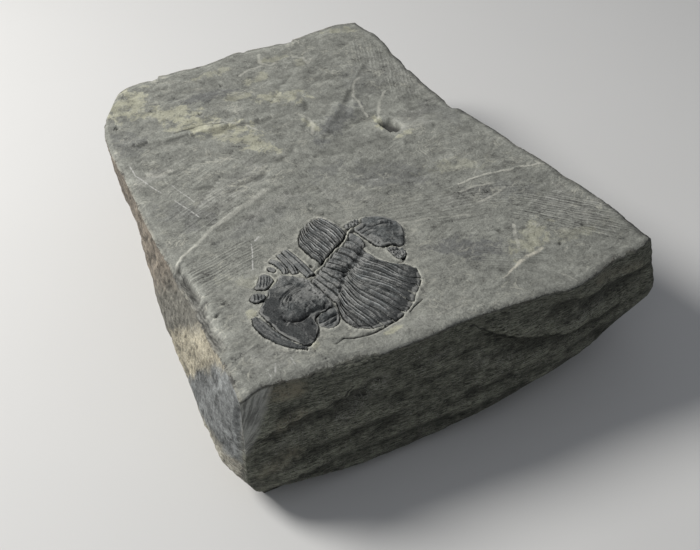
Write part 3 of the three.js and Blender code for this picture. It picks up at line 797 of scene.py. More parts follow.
def slab_mesh(settings):
    """The slab as a closed mesh, its plan positions, and masks for its faces."""
    levels = slab_levels()
    u = graded_shares(SLAB_WIDTH, FINE_ACROSS, settings.fine_step, settings.coarse_step)
    v = graded_shares(SLAB_LENGTH, FINE_ALONG, settings.fine_step, settings.coarse_step)
    columns = len(u) - 1
    rows = len(v) - 1
    # Anticlockwise round the outline from the near left corner.
    loop = grid_outline(rows + 1, columns + 1)
    around = len(loop)
    lu = u[loop[:, 1]]
    lv = v[loop[:, 0]]
    grid_u, grid_v = np.meshgrid(u, v)
    top = flat_points(*coons_patch(levels["top"], grid_u.ravel(), grid_v.ravel()).T)
    upper = flat_points(*coons_patch(levels["top"], lu, lv).T)
    belt = coons_patch(levels["belt"], lu, lv)
    base = np.column_stack([coons_patch(levels["base"], lu, lv), np.full(around, BEDDING)])

    past_corner = smoothstep(lv, 0.0, CORNER_SHARE)
    facing = {"near": 1 - past_corner, "left": (1 - smoothstep(lu, 0.0, CORNER_SHARE)) * past_corner}

    ahead = np.roll(upper[:, :2], -3, axis=0) - np.roll(upper[:, :2], 3, axis=0)
    outward = np.column_stack([ahead[:, 1], -ahead[:, 0]])
    outward /= np.linalg.norm(outward, axis=1)[:, None]

    # The outline of the bedding plane is chipped in step with the row just below it.
    chips = 0.28 * fractal(upper, 3.1, 4, 67)
    nicks = -0.9 * smoothstep(fractal(upper, 4.3, 2, 71), 0.35, 0.6)
    edge_shift = outward * (chips + nicks)[:, None]
    edge_index = loop @ (columns + 1, 1)
    # Each grid point near an edge shares the shift of the nearest edge point.
    shift = np.zeros((len(top), 2))
    shift[edge_index] = edge_shift
    shift = shift.reshape(rows + 1, columns + 1, 2)
    for step in range(1, 4):
        fade = 1 - step / 4
        shift[step, step:-step] = shift[0, step:-step] * fade
        shift[-1 - step, step:-step] = shift[-1, step:-step] * fade
        shift[step:-step, step] = shift[step:-step, 0] * fade
        shift[step:-step, -1 - step] = shift[step:-step, -1] * fade
    top[:, :2] += shift.reshape(-1, 2)

    distance = plate_distances(top)
    top[:, 2] = BEDDING + bedding_relief(top[:, 0], top[:, 1], distance)
    # The bedding plane rolls over slightly where it meets the sides.
    to_side = np.minimum(grid_u, 1 - grid_u) * SLAB_WIDTH
    rim = np.minimum(to_side, np.minimum(grid_v, 1 - grid_v) * SLAB_LENGTH).ravel()
    top[:, 2] -= 0.35 * (1 - smoothstep(rim, 0.0, 1.8))

    upper[:, 2] = BEDDING - top[edge_index, 2]
    side_rows = []
    standing = []
    facets = []
    for row in range(1, SIDE_ROWS + 1):
        # Rows crowd towards the top edge, where the break meets the bedding plane.
        fall = (row / SIDE_ROWS) ** 1.15
        if fall < BELT_SHARE:
            share = fall / BELT_SHARE
            place = lerp(upper, belt, math.sin(share * math.pi / 2))
            depth = lerp(upper[:, 2], belt[:, 2], share)
        else:
            share = (fall - BELT_SHARE) / (1 - BELT_SHARE)
            place = lerp(base, belt, math.sin((1 - share) * math.pi / 2) ** 1.3)
            depth = lerp(belt[:, 2], base[:, 2], share)
        place = np.column_stack([place[:, :2], BEDDING - depth])
        strength = smoothstep(depth - upper[:, 2], -0.2, 1.6) * (1 - 0.8 * smoothstep(fall, 0.93, 1.0))
        out = side_relief(place, depth, facing) * strength
        broken = 0.25 * fractal(place, 2.2, 2, 61) + chips + 0.7 * nicks
        out += broken * (1 - smoothstep(depth, 0, 2.5))
        place[:, :2] += outward * out[:, None]
        side_rows.append(place)
        standing.append(out)
        facets.append(corner_facet(place, depth, facing))

    rings = []
    last = side_rows[-1]
    middle = last[:, :2].mean(axis=0)
    for ring in range(1, BASE_RINGS + 1):
        share = ring / (BASE_RINGS + 1)
        place = flat_points(*lerp(last[:, :2], middle, share).T)
        place[:, 2] = 0.3 * np.clip(fractal(place, 6, 4, 73) + 0.1, 0, 1)
        rings.append(place)
        standing.append(np.zeros(around))
        facets.append(np.zeros(around))
    last[:, 2] = 0.0

    vertices = np.vstack([top] + side_rows + rings + [[middle[0], middle[1], 0.0]])
    vertices[:, :2] += PLAN_ZERO
    faces = grid_faces(rows + 1, columns + 1)
    loops = [edge_index] + [np.arange(around) + len(top) + k * around for k in range(ROWS_BELOW)]
    for above, below in zip(loops, loops[1:]):
        faces += loop_faces(below, above)
    centre = np.full(around, len(vertices) - 1)
    faces += np.stack([centre, np.roll(loops[-1], -1), loops[-1]], axis=1).tolist()

    # A pale painted highlight in patches along the far, left and right edges of the bedding plane.
    edge_highlight = np.minimum(to_side, (1 - grid_v) * SLAB_LENGTH).ravel()
    edge_highlight = (1 - smoothstep(edge_highlight, 0.0, 0.7)) * smoothstep(fractal(top, 2.4, 3, 223), -0.3, 0.25)
    masks = slab_masks(top, grid_u.shape, edge_highlight, around, facing, distance, edge_index)
    masks["facet"] = np.concatenate([np.zeros(len(top))] + facets + [[0.0]])
    masks["relief"] = np.concatenate([top[:, 2] - BEDDING] + standing + [[0.0]])
    # Where the painted shade of the hollows and the painted highlight of the crests are left out, because
    # the break turns there.
    turn = np.ones((ROWS_BELOW, around))
    turn[:3] = 0.0
    masks["clear"] = np.concatenate([smoothstep(rim, 0.4, 1.4), turn.ravel(), [0.0]])
    return vertices, faces, masks


def grid_blur(values, passes):
    """Values on a grid averaged with their neighbours, several times."""
    for _ in range(passes):
        wide = np.pad(values, 1, mode="edge")
        values = (wide[:-2, 1:-1] + wide[2:, 1:-1] + wide[1:-1, :-2] + wide[1:-1, 2:] + 2 * values) / 6
    return values


def slab_masks(top, grid_shape, rim, around, facing, distance, edge_index):
    """Numbers for each vertex: which face it is on, and how near a plate it is."""

    def on_top(values):
        return np.concatenate([values, np.zeros(around * ROWS_BELOW + 1)])

    masks = {}
    for name, share in facing.items():
        masks[name] = np.concatenate([np.zeros(len(top)), np.tile(share, ROWS_BELOW), [0.0]])
        masks[name][edge_index] = 0.5 * share
    masks["top"] = on_top(np.ones(len(top)))
    masks["top"][edge_index] = 0.75
    open_rock = smoothstep(grid_blur(distance.reshape(grid_shape), 8).ravel(), 0.1, 0.3)
    flat = flat_points(top[:, 0], top[:, 1])
    patchy = smoothstep(fractal(flat, 1.8, 3, 211), -0.35, 0.35)
    halo = open_rock * np.exp(-((distance / lerp(0.35, 1.1, patchy)) ** 1.5)) * lerp(0.55, 1, patchy)
    halo += 0.22 * np.exp(-distance / 4) * (distance < 11)
    cheeks = np.hypot(top[:, 0] + 30.5, top[:, 1] + 31.5) - 3.4
    halo *= lerp(0.35, 1, smoothstep(cheeks, 0, 1))
    masks["halo"] = on_top(halo)
    # Painted shadow in the narrow gaps round the plates, and beside the seam.
    gap = 1 - smoothstep(distance, 0.03, lerp(0.22, 0.1, open_rock))
    gap = gap * lerp(0.3, 1, smoothstep(fractal(flat, 2.4, 2, 277), -0.3, 0.2))
    # The painted shadow in the gaps is weaker behind the front rim and round the broken cheek, where rock
    # dust fills them.
    behind_rim, _ = path_distance(top[:, 0], top[:, 1], BORDER_INNER)
    dusty = lerp(0.35, 1, smoothstep(np.minimum(behind_rim, cheeks), 0.4, 1.0))
    seam, _ = path_distance(top[:, 0] + 0.15 * noise(flat, 0.9, 22), top[:, 1], FURROW_SEAM)
    beside = (1 - smoothstep(seam, 0.7, 1.2)) * smoothstep(seam, 0.25, 0.4)
    beside = beside * (1 - smoothstep(distance, 0.6, 1.0))
    masks["gap"] = on_top(np.maximum(gap * dusty, 0.5 * beside))
    masks["seam"] = on_top((1 - smoothstep(seam, 0.06, 0.3)) * lerp(0.2, 0.9, patchy))
    masks["ledge"] = on_top(left_ledge(top[:, 0], top[:, 1]))
    # rim here is the painted highlight along the edges.
    masks["rim"] = on_top(rim)
    return masks


def plate_distances(top):
    """Distance in plan from each point of the bedding plane to the nearest plate, in mm."""
    vertices = []
    triangles = []
    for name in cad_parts:
        if name == "shale_slab":
            continue
        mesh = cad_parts[name].data
        start = len(vertices)
        # Flattened onto the bedding plane, so that distances are measured in plan.
        vertices.extend((c[0], c[1], 0.0) for c in vertex_array(mesh) / MM)
        triangles.extend([start + index for index in face.vertices] for face in mesh.polygons)
    tree = BVHTree.FromPolygons(vertices, triangles)
    far = 12.0
    distances = np.full(len(top), far)
    low = np.min(vertices, axis=0)[:2] - far
    high = np.max(vertices, axis=0)[:2] + far
    places = top[:, :2] + PLAN_ZERO
    inside = np.all((places > low) & (places < high), axis=1)
    for index in np.nonzero(inside)[0]:
        found = tree.find_nearest((places[index, 0], places[index, 1], 0.0), far)
        if found[0] is not None:
            distances[index] = found[3]
    return distances


# Marks on the bedding plane: stretches of line in plan, then width in mm and strength.
WHITE_SCRATCHES = [
    [(-36, 21), (-36.4, 16), (-34, 7.5), 0.22, 0.8], [(-31, 9), (-29.2, 1), 0.17, 0.6],
    [(-32.5, 3.5), (-30.5, -4.5), 0.22, 0.75], [(-25.2, -18), (-28.3, -25), 0.19, 0.9],
    [(-24.2, -17.4), (-23, -16.6), 0.34, 0.7], [(-36.4, -50.8), (-37.4, -53), 0.26, 0.55],
    [(-33.2, -50.6), (-33.4, -52.4), 0.22, 0.55], [(-38.2, -51.6), (-38.4, -53.2), 0.19, 0.5],
    [(5.5, -8.5), (8.5, -9.6), 0.22, 0.5], [(-30, -25.2), (-27.8, -25.1), 0.15, 0.5],
]
# Dark lines painted as the shadows in cracks and under small steps.
CRACK_SHADOWS = [
    [(-24.6, -51.2), (-22.7, -50.5), 0.18, 0.7],
    [(-8.9, -50.5), (-7.1, -49.4), (-4.8, -48.4), 0.2, 0.85],
    [(-22.7, -50.5), (-20.9, -51.4), (-18.6, -51.9), (-17, -52), (-15.3, -51.8), (-12.3, -51.2),
     (-10.4, -50.6), 0.27, 1.0],
    [(-25.4, -44.6), (-24.2, -46.2), 0.25, 0.5], [(11, -29.4), (16, -31), (21, -32), 0.22, 0.35],
    [(-22.5, 28.4), (-16, 28.6), (-11, 26.8), 0.35, 0.5],
]
PALE_VEINS = [
    [(-41.5, -18.2), (-38.6, -15), (-35, -13), 0.45, 0.8],
    [(-35, -13), (-31, -10.2), (-26, -7.6), 0.7, 0.45], [(-26, -7.6), (-20, -5), (-14, -2.2), 1.1, 0.3],
    [(22, -20), (25.5, -20), (29, -20), (35.5, -21), 0.4, 0.9],
    [(37.5, -21), (40, -22), (43, -22.5), 0.45, 0.9],
    [(21, -22.5), (24.5, -22.5), (28.5, -23.5), 0.5, 0.5],
    [(22, -27.5), (25, -27.5), (27.5, -27), (30, -26), 0.4, 0.55],
    [(23.5, -38), (21.5, -41.5), (20, -44.5), 0.5, 0.7], [(22.5, -55), (23.5, -58), 0.3, 0.5],
    [(11, 54), (9.5, 50), (11, 47), (13, 48), 0.6, 0.6],
    [(18, 48.5), (20, 46.5), (19.5, 43.5), (21.5, 45.5), 0.6, 0.6],
    [(27, 31), (24, 28.5), (21.5, 24), (21, 20), (19.5, 14), 0.5, 0.6],
    [(29.5, 22.5), (25.5, 18.5), (21.5, 12), 0.5, 0.65],
    [(-13, 28), (-9.5, 26), (-7, 24), (-5.5, 20.5), 0.5, 0.6],
    [(-34, 15.5), (-32, 13.5), (-29, 14.5), 0.9, 0.5], [(27, -19), (31, -15), 0.35, 0.35],
    [(4.6, 13), (6.6, 16), (7, 20), (5.6, 23), 0.6, 0.5],
    [(0.5, -25), (10, -27.4), (18, -30.5), 0.5, 0.4], [(2, 46), (6, 48), (11, 47.5), 0.5, 0.4],
]
BRIGHT_STREAK = [
    [(11.5, -51), (14, -50), 0.22, 0.6], [(14, -50), (17, -48.6), 0.4, 0.85],
    [(17, -48.6), (19.5, -47.6), 0.65, 0.95], [(19.5, -47.6), (21.7, -47.3), 0.75, 0.95],
    [(21.7, -47.3), (24, -46.8), 0.55, 0.85],
]
# Stains: centre, half length, half width, angle, strength.
TAN_STAINS = [
    (-28, 45, 8, 4.5, 40, 0.8), (-21, 37, 9, 4, -30, 0.75), (-14, 27, 11, 4, -38, 0.9),
    (-17, 30, 7, 3, 0, 0.6), (-9, 16, 7, 3.5, -62, 0.75), (-12, 22, 5, 3, -20, 0.6),
    (-3, 36.5, 4, 2, 0, 0.5), (6, 31, 7.5, 3.4, -25, 0.65), (5, 43, 4.5, 2, 20, 0.5),
    (-3, 50, 6, 1.8, 10, 0.45), (13, 50, 4.5, 1.8, 0, 0.5), (18, 45, 3, 1.4, 60, 0.35),
    (36, 55, 5, 1.8, -20, 0.5), (6, 17, 1.2, 4.4, 10, 0.6), (20.6, 10.6, 3, 1.5, 80, 0.9),
    (23, 2.8, 3, 1, 10, 0.7), (24, -43, 7, 3.2, 25, 0.6), (33, -46, 4.5, 2.2, -10, 0.35),
    (-14, -53, 2.6, 0.8, 8, 0.9), (-34.3, -36.8, 1.2, 2, -25, 0.9), (-28, -49.8, 1.6, 0.7, 50, 0.7),
    (-27.5, 52, 6, 2, 28, 0.8), (26, -14, 8, 3, -20, 0.3), (-28, -30, 8, 2, -35, 0.25),
]
DARK_ZONES = [
    (12, 15, 12, 3.2, 40, 0.55), (12, -10, 11, 5.5, -25, 0.4), (12, -40, 9, 4.5, -35, 0.6),
    (-10, 40, 8, 3.5, 0, 0.6), (-34, 29, 6, 5, -40, 0.35), (-33, -2, 7, 5, -60, 0.35),
    (30, -27, 8, 4, -25, 0.3), (27, 30, 6, 9, 0, 0.2), (-20, -12, 12, 2.6, 15, 0.25),
    (0, -2, 6, 3, 20, 0.35), (36, 7, 4, 7, 10, 0.25),
]
PALE_ZONES = [
    (-33, 14, 6, 2.2, 20, 0.5), (-20, 2, 14, 4, 30, 0.35), (29, 8, 6, 4, 40, 0.35),
    (20, -25, 8, 4, -10, 0.25), (38, -39, 10, 8, -48, 0.45), (-34, -34, 5, 9, -10, 0.12),
    (-36, -48, 6, 4, 0, 0.3), (0, -12, 7, 3, -35, 0.3), (36, 30, 5, 12, 5, 0.25),
    (36.5, 12.5, 1.6, 0.7, -10, 0.9), (-7, -53.6, 12, 1.6, 8, 0.2), (-17, -8, 12, 1.6, 24, 0.4),
]
# Where scrape lines show: centre, half length, half width, angle of the patch, angle of the lines,
# their spacing and strength.
SCRAPES = [
    (-33, -21, 11, 6, 14, 13, 0.5, 1.0), (36, -40, 15, 9, -48, -48, 0.55, 1.5),
    (-28, -3, 12, 8, 20, 24, 0.6, 0.6), (35, 32, 7, 20, 0, 66, 0.6, 0.5),
    (15, -24, 16, 7, -14, -12, 0.7, 0.6), (-24, 12, 14, 7, 0, 24, 0.7, 0.4),
    (28, -28, 10, 6, -20, -24, 0.6, 0.8), (17, -46, 9, 5, -20, -30, 0.5, 0.7),
    (-30, -44, 8, 6, 30, 52, 0.6, 0.5),
]

# The dark floor of the pit, as a stain.
PIT_STAIN = (22.1, 8, 3.6, 1.7, 104, 1.0)
BRIGHT_STREAK_COLOUR = (0.46, 0.44, 0.37, 1.0)
EDGE_HIGHLIGHT_COLOUR = (0.36, 0.345, 0.29, 1.0)


def line_marks(graph, position, marks):
    """One mask for a list of marks, each a chain of places, then a width in mm and a strength."""
    masks = []
    for *chain, width, strength in marks:
        sizes = {"Width": width, "Strength": strength}
        places = [(*place, 0.0)[:3] for place in chain]
        for start, end in zip(places, places[1:]):
            masks.append(graph.group("Line Mark", position, Start=start, End=end, **sizes)["Mask"])
    return graph.strongest(masks)


def stain_mark(graph, position, ragged, x, y, length, width, angle, strength):
    """A ragged oval in plan from its centre, half length, half width and angle."""
    oval = {"Centre": (x, y, 0.0), "Reach": (length, width, 1.0), "Angle": angle}
    return graph.group("Stain Patch", position, **oval, Ragged=ragged, Strength=strength)["Mask"]


def stain_marks(graph, position, ragged, stains):
    return graph.strongest([stain_mark(graph, position, ragged, *stain) for stain in stains])


def scrape_heights(graph, position, ragged):
    """Height of the scrape lines, about 0, where each set of them shows."""
    total = 0.0
    for x, y, length, width, turn, angle, spacing, strength in SCRAPES:
        mask = stain_mark(graph, position, ragged, x, y, length, width, turn, strength)
        lines = graph.group("Scraped Lines", position, Angle=angle, Spacing=spacing, Length=13.0)
        total = (lines["Height"] - 0.5) * mask + total
    return total


def shale_material(settings):
    """Split shale: grey bedding plane with stains and scratches, dark breaks with painted shade, cream
    crust, and painted shade, shadows and highlights in hollows, cracks, gaps and along edges.
    """
    material, graph, position, shader = new_material("split_shale")
    plan = graph.flattened(graph.vector("SUBTRACT", position, (*PLAN_ZERO, 0.0)))
    warp = graph.add("ShaderNodeTexNoise", {"Vector": plan, "Scale": 0.45, "Detail": 3.0})["Color"]
    warp = graph.vector("SCALE", graph.vector("SUBTRACT", warp, (0.5, 0.5, 0.5)), scale=1.1)
    wandered = graph.flattened(graph.vector("ADD", plan, warp))
    rough_edge = graph.noise(plan, 0.34, 7.0, 0.72, 0.5)
    ragged = (rough_edge - 0.5) * 4.2

    stone = graph.group("Stone Grain", position, Grain=0.42, Mottle=8.0)
    scrapes = scrape_heights(graph, plan, ragged * 0.35)
    streaks = graph.group("Scraped Lines", wandered, Angle=24.0, Spacing=0.9, Length=6.0)
    brushed = graph.ramp(graph.noise(plan, 0.07, 3.0, 0.5), 0.42, 0.6, 0.1, 1.0)
    streaks = (streaks["Height"] - 0.5) * brushed

    dots = graph.noise(plan, 3.4, 3.0, 0.7) - 0.5
    shade = stone["Shade"] * 1.25 + dots * 0.9 + scrapes * 1.5 + streaks * 0.6
    top = graph.shade((*settings.bedding_colour, 1.0), 1.0 + shade)

    dark = graph.mix(1.0, top, grey(0.66, -0.06), "MULTIPLY")
    top = graph.mix(stain_marks(graph, plan, ragged, DARK_ZONES) * 1.5, top, dark)
    pale = stain_marks(graph, plan, ragged, PALE_ZONES) * 0.7
    top = graph.mix(pale, top, graph.shade(grey(0.3, 0.06), 1.0 + shade))
    patchy = graph.ramp(rough_edge, 0.36, 0.54, 0.25, 1.0)
    tan = stain_marks(graph, plan, ragged, TAN_STAINS) * patchy
    stain = graph.shade((*settings.stain_colour, 1.0), 1.0 + stone["Shade"] * 0.9)
    top = graph.mix(tan * 0.95, top, stain)
    broad_wisps = graph.group("Pale Wisps", plan, Size=5.5, Sharpness=0.028)["Mask"]
    short = graph.vector("MULTIPLY", wandered, (0.75, 1.5, 1.0))
    short_wisps = graph.group("Pale Wisps", short, Size=2.6, Sharpness=0.05)["Mask"]
    curls = graph.math("MAXIMUM", broad_wisps, short_wisps * 0.75)
    crushed = graph.ramp(graph.noise(plan, 0.06, 4.0, 0.6, 1.0), 0.42, 0.62, 0.15, 0.8)
    top = graph.mix(curls * crushed, top, grey(0.38, 0.12))
    veins = line_marks(graph, wandered, PALE_VEINS) * graph.ramp(rough_edge, 0.3, 0.55, 0.2, 1.0)
    top = graph.mix(veins, top, grey(0.43, 0.1))
    jagged = graph.flattened(graph.vector("ADD", plan, graph.vector("SCALE", warp, scale=0.35)))
    scratches = line_marks(graph, jagged, WHITE_SCRATCHES)
    broken = graph.ramp(graph.noise(plan, 1.1, 3.0), 0.4, 0.55, 0.2, 1.0)
    top = graph.mix(scratches * broken, top, grey(0.5, 0.04))
    top = graph.mix(line_marks(graph, wandered, BRIGHT_STREAK) * patchy, top, BRIGHT_STREAK_COLOUR)
    halo = graph.mask("halo") * graph.ramp(stone["Shade"], -0.15, 0.12, 0.25, 1.0)
    top = graph.mix(halo * 0.85, top, grey(0.34, 0.1))
    # Painted shadow in the gaps round the plates and beside the seam.
    top = graph.mix(graph.mask("gap") * 0.85, top, grey(0.035, 0.0))
    top = graph.mix(graph.mask("seam") * 0.9, top, grey(0.36, 0.12))
    # Painted shadow in the cracks.
    top = graph.mix(line_marks(graph, jagged, CRACK_SHADOWS) * 0.92, top, grey(0.015, 0.0))
    pit = stain_mark(graph, plan, ragged * 0.25, *PIT_STAIN)
    top = graph.mix(pit * 0.8, top, grey(0.07, 0.05))
    top = graph.mix(stone["Specks"] * 0.22, top, grey(0.42, 0.05))
    layered = graph.noise(graph.vector("MULTIPLY", wandered, (2.0, 0.3, 1.0)), 1.0, 4.0, 0.65)
    ledge = graph.shade(grey(0.16, 0.08), graph.ramp(layered, 0.35, 0.65, 0.3, 1.7))
    top = graph.mix(graph.mask("ledge"), top, ledge)
    # Painted highlight along the edges of the bedding plane.
    top = graph.mix(graph.mask("rim") * 0.6, top, EDGE_HIGHLIGHT_COLOUR)

    sides = side_colour(graph, position, settings)
    on_top = graph.ramp(graph.mask("top") + stone["Shade"] * 0.8, 0.55, 0.85)
    colour = graph.mix(on_top, sides, top)
    # Painted shade in the hollows of the relief and painted highlight on its crests.
    colour = graph.mix(graph.mask("hollow") * 0.75, colour, graph.shade(colour, 0.25))
    colour = graph.mix(graph.mask("crest") * 0.5, colour, graph.shade(colour, 1.7))
    graph.feed(shader.inputs["Base Color"], colour)

    graph.feed(shader.inputs["Roughness"], graph.ramp(stone["Shade"], -0.2, 0.2, 0.68, 0.9))
    shader.inputs["Specular IOR Level"].default_value = 0.3

    cleavage = graph.vector("MULTIPLY", position, (0.5, 0.5, 2.6))
    laminae = graph.noise(cleavage, 0.9, 6.0, 0.66, 0.3)
    height = stone["Height"] * 0.8 + scrapes * 1.1 + streaks * 0.4 + (1.0 - on_top) * (laminae * 2.4)
    graph.bump(shader, 0.8, 0.3 * MM, height)
    return material


# Blotches on the sides: start and end in the slab's frame, reach and strength.
BROWN_BLOTCHES = [
    [(-41, -55, 26.5), (-34, -55, 25.5), 2.6, 0.8], [(-42, -55, 10), (-36, -56, 12), 3.0, 0.6],
    [(-38, -56, 19), (-34, -56, 20), 2.2, 0.45], [(30, -58, 26), (42, -57, 24), 2.0, 0.35],
]
# Dark lines painted as the shadows in the cracks on the near side, as chains of x and height.
FRONT_CRACK_SHADOWS = [
    [(-46, 15.8), (-43, 17.6), (-38, 18.9), (-33, 19.4), (-29.7, 19.5), (-26, 20.8), (-24, 23), 0.32, 0.9],
    [(0.5, 26.2), (3.5, 24), (7, 22), 0.3, 0.8],
    [(7, 22), (13, 19.4), (21, 16.8), (26, 17), (31, 16.6), 0.45, 0.7],
    [(-20, 12), (-12, 12.6), (-3, 11.4), 0.25, 0.4], [(-30, 24), (-22, 24.8), (-15, 24.2), 0.25, 0.4],
]
PALE_FLECKS = [
    [(-26, -57, 17), (-19, -57, 21), 3.2, 0.9], [(12, -59, 20.5), (12.6, -59, 21), 1.0, 0.9],
    [(22, -59, 19), (30, -58, 20), 2.6, 0.6], [(-8, -58, 22), (-4, -58, 22.5), 1.8, 0.5],
    [(2, -58, 18), (10, -58, 16), 3.0, 0.45], [(-39, -57, 14), (-34, -57, 17), 2.4, 0.5],
]

FACET_FOOT = (-48.5, -57.0, 12.5)  # where the lines of the struck facet start
FACET_COLOUR = (0.31, 0.315, 0.29, 1.0)
BROWN_BLOTCH_COLOUR = (0.225, 0.205, 0.148, 1.0)
FAR_BROWN = (0.2, 0.175, 0.145, 1.0)
BLUE_GREY = (0.15, 0.157, 0.155, 1.0)
DIRTY_GREY = (0.145, 0.14, 0.12, 1.0)
LEFT_BROWN = (0.175, 0.152, 0.122, 1.0)


def side_colour(graph, position, settings):
    """Colour of the slab's sides and underside."""
    cleavage = graph.vector("MULTIPLY", position, (0.45, 0.45, 2.3))
    layers = graph.noise(cleavage, 0.8, 7.0, 0.68, 0.5) - 0.5
    stone = graph.group("Stone Grain", position, Grain=0.45, Mottle=5.0)
    # Thin cleavage lines, which rise a little to the right.
    sheared = graph.vector("MULTIPLY", position, (0.3, 0.3, 2.6))
    chips = graph.noise(sheared, 2.4, 4.0, 0.76, 0.5) - 0.5
    level = graph.math("MAXIMUM", 1.02 + layers * 1.5 + stone["Shade"] * 1.25 + chips * 7.2, 0.2)
    # fresh is the near side: its dark break colour also carries painted shade.
    fresh = graph.shade((*settings.break_and_shade_colour, 1.0), level)
    curl = abs(graph.noise(position, 0.8, 4.0, 0.65, 0.9) - 0.5)
    flecks = graph.math("MAXIMUM", graph.ramp(curl, 0.028, 0.0), graph.ramp(chips, 0.0, 0.2, 0.0, 0.45))
    fresh = graph.mix(line_marks(graph, position, PALE_FLECKS) * flecks, fresh, grey(0.27, 0.08))
    brown = line_marks(graph, position, BROWN_BLOTCHES) * graph.ramp(stone["Shade"], -0.2, 0.15, 0.2, 1.0)
    fresh = graph.mix(brown, fresh, BROWN_BLOTCH_COLOUR)
    fresh = graph.mix(stone["Specks"] * 0.75, fresh, grey(0.24, 0.05))
    split = graph.separate(position)
    wander = (graph.noise(position, 0.5, 4.0, 0.6) - 0.5) * 2.4
    face = graph.combine(split["X"], split["Z"] + wander)
    # Painted shadow in the cracks of the near side.
    crack_shadows = line_marks(graph, face, FRONT_CRACK_SHADOWS)
    fresh = graph.mix(crack_shadows * 0.85, fresh, grey(0.012, 0.0))
    # The lines of the struck facet spread upward from its foot.
    foot = graph.separate(graph.vector("SUBTRACT", position, FACET_FOOT))
    spread = graph.math("ARCTAN2", foot["X"], foot["Z"])
    rays = graph.combine(spread * 11.0, foot["Z"] * 0.12)
    fan = graph.noise(rays, 2.0, 4.0, 0.7, 0.2)
    facet = graph.shade(FACET_COLOUR, graph.ramp(fan, 0.36, 0.62, 0.5, 1.25))
    fresh = graph.mix(graph.mask("facet"), fresh, facet)

    broad = graph.noise(position, 0.12, 5.0, 0.6, 0.8)
    other = graph.mix(graph.ramp(broad, 0.4, 0.62), grey(0.1, 0.05), FAR_BROWN)
    other = graph.mix(graph.ramp(layers, -0.15, 0.1, 0.0, 0.6), other, grey(0.075, 0.0))
    other = graph.shade(other, 1.0 + stone["Shade"] * 1.2)

    crust_level = 1.0 + stone["Shade"] * 2.1
    crust = graph.shade((*settings.crust_colour, 1.0), crust_level)
    dirt = graph.ramp(graph.noise(position, 0.9, 6.0, 0.7, 0.6), 0.54, 0.62)
    crust = graph.mix(dirt * 0.75, crust, graph.shade(grey(0.11, 0.12), crust_level))
    # Bluish grey near the front corner, cream further back, and brown towards the far end.
    patchy = (graph.noise(position, 0.2, 7.0, 0.66, 0.4) - 0.5) * 24.0
    reach = split["Y"] + (split["Z"] - BEDDING) * 1.1 + patchy * 0.5
    lit_top = graph.ramp(split["Z"], 21.0, 27.0, 0.0, 0.35)
    bluish = graph.shade(BLUE_GREY, 1.0 + stone["Shade"] * 2.3 + patchy * 0.06 + lit_top)
    left = graph.mix(graph.ramp(reach, -48.5, -45.0), bluish, crust)
    left = graph.mix(graph.ramp(reach, -36.0, -32.0), left, graph.shade(DIRTY_GREY, crust_level))
    left = graph.mix(graph.ramp(reach, -24.0, -15.0), left, graph.shade(LEFT_BROWN, crust_level))
    low = split["Z"] + patchy * 0.25 + (split["Y"] + 55.0) * 0.1
    pale_foot = graph.mix(0.5, crust, graph.shade(grey(0.32, 0.08), level))
    left = graph.mix(graph.ramp(low, 13.5, 11.0), left, pale_foot)
    wander = (layers + stone["Shade"]) * 1.2
    on_left = graph.ramp(graph.mask("left") + wander, 0.35, 0.65)
    return graph.mix(graph.mask("near"), graph.mix(on_left, other, left), fresh)


class TRILOBITE_OT_shale_slab(bpy.types.Operator):
    """Builds the slab of shale that carries the fossil"""

    bl_idname = "trilobite.shale_slab"
    bl_label = "Shale Slab"

    def execute(self, context):
        settings = context.scene.trilobite_slab
        vertices, faces, masks = slab_mesh(settings)
        slab = make_object("split_slab", vertices, faces)
        relief = masks.pop("relief")
        # Hollows and crests of the relief, which take painted shade and painted highlight.
        shape = relief - neighbour_smooth(slab.data, relief, 9)
        clear = masks.pop("clear") * (1 - masks["facet"])
        masks["hollow"] = np.clip(-shape * 8, 0, 1) * clear
        masks["crest"] = np.clip(shape * 7, 0, 1) * clear
        for name, values in masks.items():
            store_mask(slab.data, name, values)
        finish_piece(slab, ["shale_slab"], shale_material(settings))
        return {"FINISHED"}


# ---------------------------------------------------------------- fossil plates

